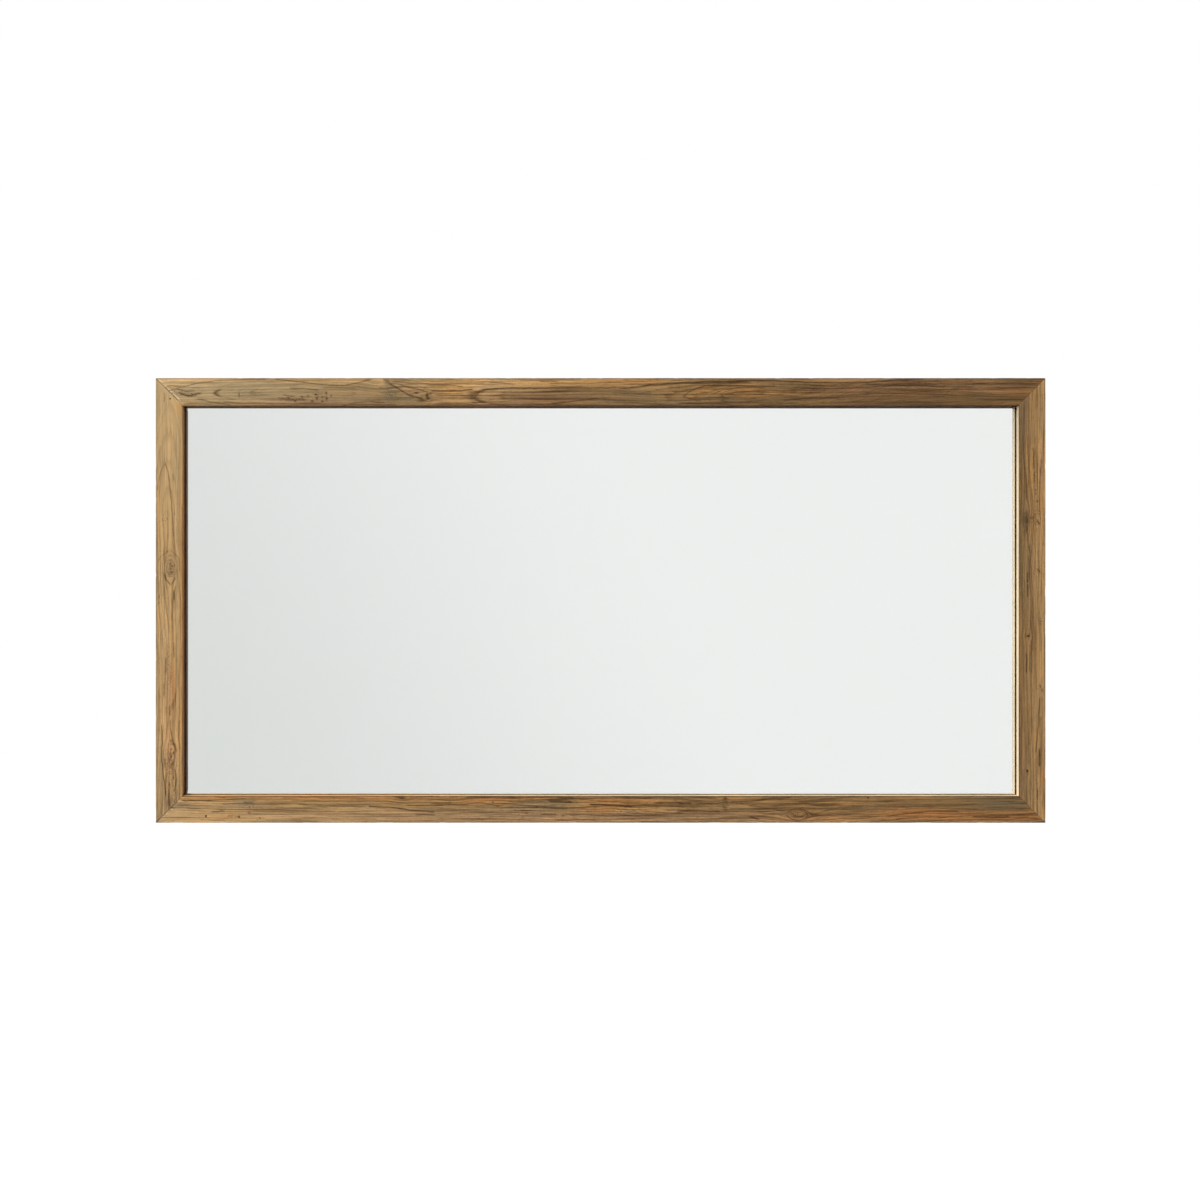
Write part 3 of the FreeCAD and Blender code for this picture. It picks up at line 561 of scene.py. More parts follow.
# The figure of each member. A line has its points, its width and its strength, and a crack has its
# depth too. A ring line has its radius, width, strength, start, end and branch. The other marks give
# their place, their half sizes and their strength, or for a tint its tone, warmth and blush. The
# values for the sides are in the order face, lip, rebate, back, outer side, inner and outer arris.
# Tone, its lean and warmth are set at the few places where the wood changes, and the rails' tone also falls
# from left to right as painted light, where the key light falls off.
top_wood = {
    "seed": 31,
    "busy": [(-735, 40), (-575, 45), (-356, 30), (-240, 30), (215, 45)],
    "heart": [
        (-900, 32), (-470, 31), (-400, 35), (160, 36), (300, 32), (450, 20), (600, -20), (900, -40),
    ],
    "heart_depth": [
        (-900, 34), (-892, 34), (-779, 26), (-763, 24.2), (-731, 20.6), (-707, 17.9), (-600, 8),
        (-517, 5), (-420, 18), (-340, 34), (-258, 30), (-250, 29.3), (-234, 27.5), (-190, 25), (-21, 24),
        (100, 24), (170, 18), (225, 14), (240, 12.9), (270, 6), (315, 6), (391, 12), (500, 20), (900, 30),
    ],
    "knots": [((-356, 38.5, 8, 6), 6), ((-449, 6, 12, 7), 8), ((722, 31, 12, 6), 4)],
    "ring_lines": [
        (26, 0.55, 0.7, -780, -772, 0), (26, 0.7, 0.15, -770, -742, 1), (17.9, 0.7, 0.35, -712, -695, 0),
        (30, 0.9, 0.6, -262, -236, 0), (30, 0.8, 0.3, -236, -120, -1),
    ],
    "lines": [
        ([(-872, 26), (-847, 18.6), (-816, 10.5), (-777, 5.5), (-726, 3.4), (-680, 3)], 0.9, 0.5),
        ([(-655, 3), (-618, 7), (-583, 11), (-544, 14.8), (-521, 15.6), (-494, 11), (-467, 4)], 1, 0.6),
        ([(-884, 20), (-868, 15), (-850, 18)], 1, 0.6), ([(-880, 27), (-862, 22), (-846, 24)], 0.9, 0.5),
        ([(-848, 33), (-830, 36), (-811, 31)], 1.7, 0.75),
        ([(-852, 24), (-838, 27), (-822, 26)], 1.1, 0.5),
        ([(-815, 42), (-785, 48), (-750, 52)], 0.9, 0.55),
        ([(-760, 47), (-735, 50), (-640, 50.5), (-430, 52)], 0.8, 0.45),
        ([(-650, 41), (-632, 43), (-612, 42.5), (-600, 43.5)], 1.5, 0.5),
        ([(-640, 35), (-622, 37)], 1.2, 0.5), ([(-626, 20.5), (-600, 21.5), (-573, 24)], 1.1, 0.6),
        ([(-560, 19.5), (-536, 19.6), (-500, 20.5)], 1, 0.3),
        ([(-505, 50), (-467, 46.6), (-440, 48)], 0.9, 0.6),
        ([(-520, 53), (-460, 51.5), (-416, 52)], 0.9, 0.5),
        ([(-436, 3), (-425, 13), (-409, 22), (-389, 34), (-362, 42)], 1.7, 0.75),
        ([(-405, 14), (-388, 19), (-370, 22.5), (-352, 28.5)], 1, 0.6),
        ([(-340, 25.5), (-309, 26.8), (-280, 25.5), (-261, 22.7)], 1.2, 0.85),
        ([(-352, 12), (-320, 14.4), (-281, 17)], 0.9, 0.55),
        ([(-420, 7), (-390, 10), (-352, 12)], 0.9, 0.45),
        ([(-332, 35), (-300, 36), (-280, 34)], 0.8, 0.35),
        ([(-256, 42), (-250, 33), (-241, 26.5), (-228, 22.6), (-204, 21.7)], 1, 0.9),
        ([(-258, 47), (-252, 51), (-243, 53.5)], 1, 0.5),
        ([(-238, 25), (-226, 23), (-210, 22)], 1.6, 0.85),
        ([(-204, 21.7), (-150, 20.8), (-100, 20.2), (-21, 20.4), (59, 20.5)], 1.1, 0.8),
        ([(-222, 9), (-200, 10.5), (-177, 13)], 0.9, 0.55), ([(-120, 7), (-88, 7.5)], 1, 0.55),
        ([(-100, 15.6), (-72, 17.6), (-40, 16.5)], 1, 0.5),
        ([(-96, 49.6), (-60, 46.5), (-34, 44), (-8, 41)], 1, 0.65),
        ([(59, 20.5), (98, 14.8), (140, 11), (179, 9), (240, 7.3), (302, 6.6)], 1.5, 0.85),
        ([(302, 5.5), (364, 6), (410, 8), (465, 10), (500, 10), (542, 8.3), (580, 5.5),
          (650, 0.8)], 1.3, 0.8), ([(-100, 11), (20, 9.5), (120, 6)], 0.7, 0.4),
        ([(30, 30), (90, 33), (150, 34)], 0.8, 0.35),
        ([(169, 38), (176, 29.5), (195, 20.5), (218, 14.8), (256, 10.5), (302, 9)], 1.2, 0.65),
        ([(169, 38), (180, 42), (200, 44.6)], 1.2, 0.6),
        ([(229, 32), (245, 24.6), (268, 20.5), (302, 18), (350, 17)], 1.1, 0.55),
        ([(237, 41), (253, 32), (276, 28), (320, 27)], 1.1, 0.5),
        ([(310, 24), (360, 26), (430, 25)], 1, 0.45), ([(373, 44.5), (424, 40.5), (480, 41)], 1, 0.5),
        ([(430, 17), (480, 19), (530, 18)], 0.9, 0.4), ([(540, 30), (640, 33), (720, 36)], 0.9, 0.45),
        ([(540, 13), (600, 15), (680, 13)], 0.9, 0.4), ([(640, 20), (700, 24), (760, 22)], 0.9, 0.4),
        ([(693, 38), (709, 23), (725, 18), (750, 18)], 1, 0.4),
        ([(800, 12), (840, 10), (880, 12)], 1.2, 0.5),
    ],
    "cracks": [([(-330, 51), (-200, 51.8), (-120, 51.5)], 0.7, 0.5, 0.4)],
    "spots": [
        (-373, 30, 5, 2, 0.9), (-351, 35, 2.8, 6, 1), (-345, 31.5, 5, 1.8, 0.9), (-349, 41, 5, 2.8, 0.95),
        (-362, 44.5, 10, 1.7, 1), (-356, 20.3, 3.5, 1.1, 0.5), (-576, 33.5, 4, 1.6, 1.1),
        (-583, 46, 3.4, 1.6, 1), (-574, 41, 2, 2.8, 1.1), (-563, 38.5, 2.4, 1.6, 0.9),
        (-555, 31, 1.9, 3, 1.1), (-554, 41.5, 2, 2.8, 1.1), (-563, 46.5, 2.8, 1.5, 0.9),
        (-592, 36, 2.6, 1.5, 0.8), (-545, 36, 1.8, 2.2, 0.8), (-632, 40, 3.2, 1.7, 0.9),
        (-618, 46, 2.8, 1.5, 0.8), (-604, 38, 3, 1.6, 0.8), (-444, 19.6, 4, 1.3, 0.55),
        (-431, 7, 5, 5, 0.4), (-731, 34, 1.2, 5, 0.8), (-258, 40, 3, 3.5, 0.4), (250, 43, 12, 4, 0.35),
        (860, 14, 26, 4, 0.3),
    ],
    "nail_holes": [],
    "specks": [
        (-852, 29, 12, 8, 0.9), (-826, 34, 16, 4, 0.9), (-570, 37, 19, 11, 0.6), (-622, 42, 26, 4, 0.9),
        (-424, 34, 14, 11, 0.8), (-705, 33, 14, 9, 0.5), (-150, 12, 70, 8, 0.35),
    ],
    "tone": [(-900, 0.95), (-420, 0.6), (-250, 0.9), (50, 0.55), (550, 0.35)],
    "tone_lean": [(0, -0.2)],
    "ring_show": [
        (-900, 0.6), (-780, 0.35), (-640, 0.15), (-450, 0.12), (-350, 0.5), (-260, 0.9), (0, 0.8),
        (180, 0.95), (400, 0.7), (900, 0.5),
    ],
    "contrast": [(-900, 0.6), (-460, 0.6), (-330, 0.95), (-200, 1.1), (100, 1.1), (900, 1.15)],
    "warmth": [(-900, -0.6), (-420, -0.1), (0, 0.1), (900, 0.5)],
    "tints": [
        (-690, 26, 130, 15, -0.06, -0.25, 0), (-800, 3, 120, 4, 0.06, 0.75, 0),
        (-560, 4, 120, 5, 0.16, 0.6, 0), (-515, 7, 40, 4, 0.2, 0.1, 0), (0, 1.6, 2000, 1, -0.16, -0.4, 0),
        (-870, 20, 20, 8, 0.05, 0.5, 0), (-600, 47, 90, 3.5, 0.05, 0.1, 0.5),
        (-446, 11, 9, 8, 0.35, 0.1, 0.1), (-424, 30, 15, 16, -0.22, -0.5, 0),
        (-390, 25, 14, 4, 0.05, 0.4, 0.4), (-392, 42, 14, 5, -0.1, -0.5, 0),
        (-305, 27, 50, 26, 0.08, 0.4, 0), (-110, 40, 125, 15, -0.42, 0.25, 0.3),
        (-190, 52, 60, 1.4, 0.35, 0, 0.6), (-60, 9, 190, 9, 0.18, 0.35, 0), (40, 8, 90, 7, 0.2, 0.2, 0),
        (190, 36, 16, 5, 0.35, 0.3, 0.1), (205, 24, 20, 5, 0.2, 0.5, 0), (215, 40, 14, 3, -0.1, -0.1, 0),
        (300, 23, 60, 3, 0.3, 0.35, 0), (330, 33, 70, 5, 0.15, 0.3, 0), (250, 43, 16, 4, -0.25, -0.6, 0),
        (505, 3.5, 125, 4.6, 0.75, 0.1, 0), (430, 16, 120, 7, -0.1, 0, 0),
        (513, 23.5, 26, 3, 0.25, 0.6, 0.3), (640, 28, 60, 3, 0.2, 0.3, 0),
        (750, 22, 34, 4, 0.3, 0.1, 0.3), (795, 29, 34, 4, 0.3, 0.1, 0.3),
        (850, 10, 50, 7, -0.22, -0.2, 0.2), (-850, 48, 40, 5, 0.05, 0.6, 0),
        (-585, 40.5, 5, 3.5, 0.16, 0.2, 0),
        (680, 10, 130, 16, 0, 0, 0.22), (560, 30, 120, 30, 0, 0.1, 0.25),
        # The last tint paints a shade line along the inner edge of the face
        (-600, 53, 300, 3, 0, 0.3, 0), (0, 53.6, 2000, 1, -0.28, 0.1, 0),
    ],
    "side_tones_and_shading": (1, 1, 0.6, 0.85, 0.95, 0.9, 0.7),
    "lip_painted_light": [(-900, 1), (0, 1.25), (900, 1.1)],
    "side_warmth": (0, 0.6, 0.1, 0, 0, 0.5, -0.05),
    "lip_painted_shade": (0.85, 5),
    "lip_start": (0, 1),
    "lip_full": (2.3, 0.1),
    "lip_smooth": 0.3,
    "lip_pale_painted_light": [(0, 0)],
    "joint_dark": (0.7, 0.35),
    "joint_pale": (1, 0.1),
    "calm": [
        (480, 4, 110, 6, 0.6), (690, 40, 280, 20, 0.35), (850, 12, 60, 10, 0.3),
        (-130, 12, 150, 13, 0.45), (-30, 42, 130, 13, 0.35), (-430, 12, 60, 13, -0.4),
        (600, 14, 200, 9, -0.2),
    ],
}
bottom_wood = {
    "seed": 47,
    "busy": [(-790, 30), (-398, 25), (-299, 25), (252, 30), (398, 35), (541, 20)],
    "heart": [(-900, 70), (-500, 60), (-200, 66), (200, 40), (392, 30), (600, 50), (900, 72)],
    "heart_depth": [
        (-900, 12), (-700, 16), (-450, 10), (-200, 16), (60, 12), (250, 18), (450, 12), (900, 14),
    ],
    "knots": [
        ((398, 16, 20, 9), 7), ((-400, 54, 10, 7), 6), ((-299, 54, 9, 5), 4), ((252, 38, 5, 9), 3.5),
    ],
    "ring_lines": [],
    "lines": [
        ([(-889, 29), (-866, 31)], 1.2, 0.6), ([(-835, 30), (-812, 29.5)], 1, 0.5),
        ([(-784, 22.4), (-774, 22.6), (-765, 24.2)], 1.1, 0.65),
        ([(-795, 45), (-760, 46.6), (-722, 48.4)], 0.7, 0.6), ([(-720, 41.8), (-705, 42)], 0.9, 0.7),
        ([(-762, 38), (-735, 40), (-700, 39)], 0.9, 0.45),
        ([(-609, 38), (-540, 34), (-477, 33)], 1.1, 0.5),
        ([(-600, 31), (-520, 37), (-470, 38)], 0.9, 0.4),
        ([(-700, 25), (-610, 22), (-540, 23)], 0.9, 0.4),
        ([(-640, 50), (-560, 51.5), (-480, 50)], 0.9, 0.4),
        ([(-467, 33.8), (-416, 30.5), (-382, 26), (-339, 22.3)], 1.3, 0.85),
        ([(-390, 36), (-350, 34), (-320, 35)], 1, 0.5), ([(-372, 17.5), (-338, 16.8)], 1.3, 0.7),
        ([(-340, 40), (-290, 37), (-243, 41), (-204, 34)], 1, 0.6),
        ([(-270, 51.5), (-220, 52.6), (-150, 51), (-90, 52), (-57, 50)], 1.3, 0.8),
        ([(-119, 18), (-92, 17)], 1.3, 0.75), ([(-103, 44.5), (-84, 43.5), (-60, 42)], 2, 0.8),
        ([(-160, 26), (-60, 22), (20, 24)], 0.9, 0.35),
        ([(-60, 15.5), (-21, 16), (20, 14.5), (60, 15)], 1, 0.55),
        ([(-20, 37), (16, 36.5), (42, 35), (62, 34)], 1.6, 0.85),
        ([(62, 35), (90, 37.5), (120, 39.5)], 1.2, 0.6),
        ([(110, 39.5), (140, 40.5), (181, 39.5)], 2.2, 0.75),
        ([(158, 24), (200, 24.6), (238, 23.6)], 1.3, 0.7), ([(90, 50), (160, 51), (220, 50)], 0.9, 0.4),
        ([(266, 42.5), (304, 43.5), (340, 49), (382, 51)], 1.4, 0.65), ([(304, 12), (318, 8)], 1.4, 0.8),
        ([(302, 35), (340, 30), (372, 24)], 1, 0.45), ([(318, 14), (345, 18), (374, 18)], 0.9, 0.45),
        ([(374, 18), (380, 25), (392, 28.5), (406, 28), (420, 23), (430, 16)], 1.1, 0.6),
        ([(376, 15), (385, 8), (398, 4.5), (412, 7), (424, 13)], 1.1, 0.55),
        ([(386, 20), (396, 13), (410, 12), (415, 20)], 1.2, 0.55),
        ([(430, 16), (452, 24), (488, 32), (530, 34)], 1, 0.5),
        ([(432, 12), (470, 16), (520, 19)], 0.9, 0.35),
        ([(581, 14), (620, 19), (663, 24), (720, 24)], 1.2, 0.65),
        ([(560, 36), (640, 33), (740, 36)], 0.9, 0.4), ([(600, 8), (660, 12), (730, 13)], 0.9, 0.5),
        ([(756, 13), (790, 11.5), (824, 12.5)], 1.3, 0.8), ([(838, 10), (860, 11), (885, 8)], 1.2, 0.6),
        ([(620, 28), (700, 30), (760, 28)], 0.9, 0.4),
    ],
    "cracks": [
        ([(-843, 44.6), (-820, 45), (-791, 45)], 0.9, 1, 0.7),
        ([(0, 51), (80, 52), (160, 51)], 0.6, 0.5, 0.3),
    ],
    "spots": [
        (-401, 51, 7, 4, 0.7), (-299, 53, 5, 2.5, 0.5), (252, 49, 5, 4, 0.75), (254, 41, 3, 2.5, 0.6),
        (251, 32, 3.5, 2.5, 0.7), (253, 26, 4, 2.5, 0.6), (-218, 42, 2.4, 1.6, 0.75),
        (-208, 34, 2.4, 1.6, 0.7), (-150, 20, 3, 1.8, 0.8), (-129, 32, 3, 1.8, 0.8),
        (-689, 10, 1.4, 1.9, 0.7), (-752, 14.7, 1.4, 2.4, 0.7), (-746, 14.4, 2.4, 1.4, 0.6),
        (-711, 20.7, 3, 1.8, 0.6), (-76, 14.6, 3, 1.8, 0.6), (898, 1.4, 4, 4, 0.7),
    ],
    "nail_holes": [(-798, 13.6, 1.4, 2.5), (-732, 12.2, 1.9, 2.6), (541, 51, 1.6, 2.4)],
    "specks": [
        (-746, 13.5, 10, 3, 0.7), (-690, 7.5, 16, 3, 0.6), (52, 25, 34, 8, 0.8), (398, 16, 18, 8, 0.6),
        (-713, 33, 22, 8, 0.5), (-133, 25, 60, 9, 0.5), (-870, 30, 14, 6, 0.5), (560, 33, 60, 8, 0.4),
    ],
    "tone": [(-900, 0.85), (-400, 0.65), (300, 0.55), (900, 0.4)],
    "tone_lean": [(0, -0.15)],
    "ring_show": [(-900, 0.6), (-450, 0.7), (0, 0.7), (250, 0.8), (394, 1), (520, 0.8), (900, 0.7)],
    "contrast": [(-900, 0.8), (-400, 0.95), (0, 1.3), (150, 1.3), (400, 1.05), (900, 1.1)],
    "warmth": [(-900, 0), (0, 0.15), (900, 0.6)],
    "tints": [
        (-300, 47, 500, 10, 0, 0.3, 0), (700, 46, 260, 11, 0, -0.2, 0), (-80, 12, 560, 12, 0, 0, 0.35),
        (-820, 49.5, 70, 3.5, 0.14, 0.3, 0), (-500, 51, 300, 3.5, 0.1, 0.3, 0),
        (-847, 36, 16, 5, 0, -0.6, 0), (-720, 39.5, 18, 6, -0.08, -1, 0.1),
        (-750, 14, 30, 5, 0.05, 0.35, 0), (-711, 28.6, 8, 3, 0, 0.3, 0.6),
        (-230, 46, 70, 6, 0.15, 0.45, 0), (-117, 38, 58, 7, -0.12, -0.65, 0.1),
        (15, 32, 70, 14, 0.12, 0.5, 0), (55, 25, 28, 6, -0.15, -0.6, 0), (-20, 48, 90, 4, 0.15, 0.4, 0),
        (630, 20, 50, 5, 0.05, 0.4, 0), (700, 14, 200, 9, 0.16, 0.35, 0),
        (815, 39, 50, 9, -0.22, -0.8, 0), (620, 46, 90, 5, 0.15, 0.1, 0), (-640, 54, 330, 2.5, 0, 0.8, 0),
    ],
    "side_tones_and_shading": (1, 1, 0.7, 0.85, 0.85, 0.35, 0.8),
    "side_warmth": (0, -0.4, 0.1, 0, 0, 0.2, -0.05),
    "lip_painted_light": [(-900, 2.6), (-500, 3.5), (-200, 4.6), (100, 5.4), (400, 6.2), (900, 7.2)],
    "lip_painted_shade": (0.2, 1),
    "lip_start": (0, 1),
    "lip_full": (0.6, 0.1),
    "lip_smooth": 0.8,
    "lip_pale_painted_light": [(-900, 0.1), (-420, 0.15), (-200, 0.5), (900, 0.6)],
    "calm": [
        (240, 12, 280, 14, 0.2), (-500, 12, 150, 12, 0.15), (-330, 12, 130, 13, 0.2),
        (720, 42, 140, 13, 0.45),
    ],
    "joint_dark": (0.7, 0.4),
    "joint_pale": (0.3, 0.1),
}
left_wood = {
    "seed": 58,
    "busy": [(66, 35), (-320, 35), (408, 15)],
    "heart": [(-450, 30), (-300, 32), (-100, 40), (100, 28), (280, 24), (450, 30)],
    "heart_depth": [(-450, 14), (-200, 26), (0, 22), (70, 26), (180, 22), (280, 30), (450, 44)],
    "knots": [((66.5, 30, 17, 9), 9), ((-301, 32, 7, 4.5), 4.5), ((-316, 33, 5, 3.5), 3.5)],
    "ring_lines": [],
    "lines": [
        ([(132, 36.5), (150, 35), (181, 32.8), (213, 31), (235, 28.3), (262, 24.7), (276, 19.3)], 1, 0.5),
        ([(226, 3.8), (242, 5.7), (257, 9.3), (271, 14.8), (276, 19.3)], 0.9, 0.35),
        ([(244, 35.6), (254, 35)], 1, 0.4), ([(404, 17.5), (418, 17.5)], 0.9, 0.4),
        ([(83, 6.7), (88, 9.5), (94, 15), (97, 22), (98, 29)], 1.2, 0.35),
        ([(62, 48), (83, 47), (94, 42), (98, 32)], 1.2, 0.35),
        ([(34, 29), (37, 24.5), (43, 21.5), (52, 19)], 1.4, 0.7),
        ([(34, 31), (38, 36), (44, 40.5)], 1.2, 0.6), ([(20, 39), (26, 39)], 1, 0.55),
        ([(3, 37.3), (18, 37.3)], 1.3, 0.9), ([(-112, 37), (-86, 36.5)], 1, 0.6),
        ([(-80, 36.5), (-30, 34), (0, 36)], 1.4, 0.25), ([(-145, 21), (-118, 21)], 1.1, 0.55),
        ([(-190, 17.5), (-171, 17.5)], 1.1, 0.6), ([(-203, 40), (-189, 40)], 1, 0.5),
        ([(-218, 35.6), (-208, 35.6)], 1, 0.5), ([(-230, 28.3), (-214, 28.3)], 1.1, 0.65),
        ([(-290, 36), (-274, 32.8), (-261, 30), (-244, 30)], 1, 0.6),
        ([(-304, 42), (-292, 39)], 1.3, 0.7), ([(-337, 19), (-321, 19)], 1.1, 0.6),
        ([(-384, 38), (-360, 42), (-344, 40)], 1.1, 0.65),
        ([(-300, 48.5), (-270, 46), (-245, 48)], 0.9, 0.4), ([(-420, 30), (-395, 26)], 1.2, 0.5),
        ([(-430, 42), (-405, 38)], 1.2, 0.5),
    ],
    "cracks": [
        ([(-390, 20.5), (-364, 17.4), (-346, 14.8), (-326, 13), (-304, 12), (-285, 13.5),
          (-256, 13)], 0.8, 0.95, 0.7),
    ],
    "spots": [
        (165, 23.3, 1.6, 1.4, 0.7), (175, 38.3, 2.2, 1.4, 0.5), (99, 24, 2.6, 1.4, 0.6),
        (73, 30, 5, 2.2, 0.5), (71, 38, 2.4, 2, 0.55), (64, 30, 2.5, 3.2, 0.5), (54, 31, 2.5, 3.2, 0.5),
        (82, 29, 1.4, 4, 0.4), (7, 6.7, 3, 1.2, 0.75), (-5, 6.7, 3, 1.2, 0.65), (-301, 32, 2.2, 1.4, 0.8),
        (-315, 32.5, 3.5, 1.4, 0.75), (-350, 30, 1.4, 4, 0.55), (-408, 27, 7, 4, 0.4),
        (-284, 31, 3.6, 1.6, 0.9), (-290, 36, 1.8, 2.4, 0.8), (-308, 36, 2.8, 1.6, 0.9),
        (-322, 29, 3, 1.6, 0.9), (-330, 34, 1.8, 2.6, 0.9), (-338, 31, 3.2, 1.5, 0.8),
        (-358, 36, 3.6, 1.5, 0.8), (-372, 28, 4, 1.5, 0.8),
    ],
    "nail_holes": [(408, 29.6, 1.4, 1.4)],
    "specks": [
        (163, 17, 16, 6, 0.5), (66, 30, 18, 9, 0.8), (-326, 30, 24, 11, 0.9), (-150, 26, 60, 10, 0.4),
        (-380, 32, 30, 14, 0.5),
    ],
    "tone": [(-450, 0.75), (450, 0.95)],
    "tone_lean": [(0, -0.05)],
    "ring_show": [(-450, 0.6), (0, 0.4), (68, 0.8), (200, 0.6), (300, 0.45), (450, 0.2)],
    "contrast": [(-450, 0.85), (-200, 0.7), (100, 0.55), (250, 0.4), (450, 0.25)],
    "warmth": [(-450, 0), (200, 0), (450, -0.3)],
    "tints": [
        (0, 51, 600, 2.6, -0.03, 0.5, 0), (0, 42, 600, 2.6, -0.02, -0.25, 0),
        (0, 0, 600, 6, -0.3, -0.2, 0.1), (0, 6, 600, 1.6, 0.02, 0.3, 0),
        (-326, 30, 40, 10, -0.08, 0.1, 0.25), (-200, 26, 110, 16, 0, 0.15, 0.2),
        (-220, 42, 200, 12, 0, 0.2, 0), (-170, 36, 40, 3, -0.08, 0.5, 0),
        (-35, 33, 60, 3.5, -0.1, 0.2, 0), (66, 30, 26, 11, -0.12, -0.1, 0.1),
        (390, 45, 14, 5, 0.05, 0.6, 0), (-410, 30, 18, 10, -0.25, 0, 0.2),
    ],
    "side_tones_and_shading": (1, 1, 0.6, 0.85, 0.95, 0.8, 0.8),
    "lip_painted_light": [(-450, 1.2), (200, 1.55), (450, 1.3)],
    "side_warmth": (0, 0.7, 0.1, 0, 0, 0.6, -0.15),
    "lip_painted_shade": (0.95, 8),
    "lip_start": (0, 1),
    "lip_full": (1.2, 10),
    "lip_smooth": 0.3,
    "lip_pale_painted_light": [(0, 0)],
    "calm": [(30, 12, 100, 13, -0.3)],
    "joint_dark": (0.75, 0.75),
    "joint_pale": (0.2, 0.15),
}
right_wood = {
    "seed": 66,
    "busy": [(165, 40), (-72, 20), (-346, 20)],
    "heart": [(-450, 84), (-200, 78), (0, 80), (160, 70), (450, 92)],
    "heart_depth": [(-450, 10), (0, 14), (160, 20), (300, 12), (450, 10)],
    "knots": [
        ((-72, 36, 6, 5), 5), ((163, 40, 18, 9), 6), ((165, 17, 12, 5), 3.5), ((-346, 36.5, 4, 3), 2),
    ],
    "ring_lines": [],
    "lines": [
        ([(268, 24), (286, 24), (306, 24)], 1.6, 0.6), ([(240, 23), (258, 23)], 1.2, 0.55),
        ([(315, 44), (350, 43.5), (390, 44)], 1.3, 0.45),
        ([(100, 33), (121, 36.5), (134, 36.5), (150, 38)], 1.2, 0.65),
        ([(156, 12), (160, 18)], 1.6, 0.85), ([(58, 10.5), (61, 16)], 1.4, 0.85),
        ([(38, 36.5), (54, 36.5)], 1.3, 0.75), ([(10, 36.5), (30, 36.5)], 1.3, 0.7),
        ([(-70, 32.5), (-28, 29), (-2, 28), (34, 31.5), (88, 35)], 0.9, 0.5),
        ([(-68, 29), (-20, 25), (30, 27), (80, 31)], 0.8, 0.35),
        ([(-68, 40), (-20, 42), (40, 42)], 0.8, 0.35), ([(-144, 38.8), (-110, 38.8)], 1.4, 0.75),
        ([(-145, 28), (-78, 28)], 0.9, 0.45), ([(-140, 33), (-80, 32)], 0.7, 0.35),
        ([(-182, 6), (-178, 10), (-172, 12)], 1.3, 0.65),
        ([(-305, 19.8), (-276, 17), (-239, 14.3), (-200, 12.6)], 1.1, 0.7),
        ([(-333, 12.6), (-302, 12.6)], 1.6, 0.8), ([(-399, 17), (-383, 17)], 1.2, 0.65),
        ([(-290, 34), (-250, 33), (-210, 34)], 0.9, 0.4), ([(200, 44), (300, 43), (420, 45)], 0.9, 0.4),
        ([(230, 34), (330, 33), (420, 34)], 0.9, 0.4), ([(60, 22), (100, 21), (140, 22)], 0.9, 0.4),
    ],
    "cracks": [],
    "spots": [
        (223, 20.3, 1.7, 1.5, 0.85), (216, 20.3, 1.7, 1.5, 0.8), (200.6, 17, 2, 1.9, 0.9),
        (181, 13, 1.7, 1.5, 0.8), (175, 12.5, 1.5, 1.5, 0.7), (168, 25, 1.9, 1.6, 0.8),
        (-72, 36, 2.4, 4.5, 0.97), (-37, 11, 1, 4, 0.65), (-42, 11, 1, 4, 0.6), (-47, 12, 1, 3, 0.6),
        (163, 40, 12, 8, 0.45), (130, 36.5, 6, 1.6, 0.6),
    ],
    "nail_holes": [(-345, 37, 3, 1.7)],
    "specks": [
        (258, 23, 24, 4, 0.7), (167, 28, 18, 20, 0.8), (60, 18, 16, 7, 0.6), (-80, 30, 60, 12, 0.4),
        (-180, 10, 16, 6, 0.6), (-380, 20, 40, 14, 0.4),
    ],
    "tone": [(0, 0.6)],
    "tone_lean": [(0, -0.3)],
    "ring_show": [(-450, 0.55), (450, 0.5)],
    "contrast": [(-450, 0.9), (0, 0.9), (450, 0.95)],
    "warmth": [(0, 0.25)],
    "tints": [
        (0, 48.5, 600, 3, -0.12, 0.1, 0), (272, 9, 45, 3, 0.1, 0.3, 0.8), (200, 9, 45, 3, 0.12, 0.6, 0.1),
        (350, 44, 50, 2.5, -0.1, -0.3, 0.6), (-345, 45, 40, 2.5, 0, 0, 0.5),
        (0, 1, 600, 2.5, -0.16, -0.4, 0), (163, 40, 20, 10, -0.25, -0.1, 0),
        (-355, 7, 14, 2.5, 0.1, 0.8, 0), (-390, 2, 55, 3, -0.25, 0, 0), (-95, 31, 14, 3, 0.15, 0, 0),
    ],
    "side_tones_and_shading": (1, 1, 0.7, 0.85, 0.8, 0.5, 0.7),
    "side_warmth": (0, -1, 0.1, 0, 0, -0.4, -0.05),
    "lip_painted_light": [(-450, 5), (200, 4.9), (330, 3.9), (450, 3)],
    "lip_painted_shade": (0.85, 1.3),
    "lip_start": (0.6, 2.6),
    "lip_full": (0, 10),
    "lip_smooth": 0.8,
    "lip_pale_painted_light": [(0, 0.9)],
    "calm": [
        (390, 30, 110, 30, 0.45), (340, 10, 80, 12, -0.5), (-100, 30, 200, 30, 0.3),
    ],
    "joint_dark": (0.35, 0.3),
    "joint_pale": (0.1, 0.15),
}
rail = dict(half_length=frame_half_width, along_axis=(1, 0, 0), core_rows=640, strip=600.0, strips=3)
stile = dict(half_length=frame_half_height, along_axis=(0, 0, 1), core_rows=440, strip=450.0, strips=2)
teak_member("top_rail", top_wood, (0, face_front, frame_half_height), (0, 0, -1), **rail)
teak_member("bottom_rail", bottom_wood, (0, face_front, -frame_half_height), (0, 0, 1), **rail)
teak_member("left_stile", left_wood, (-frame_half_width, face_front, 0), (1, 0, 0), **stile)
teak_member("right_stile", right_wood, (frame_half_width, face_front, 0), (-1, 0, 0), **stile)


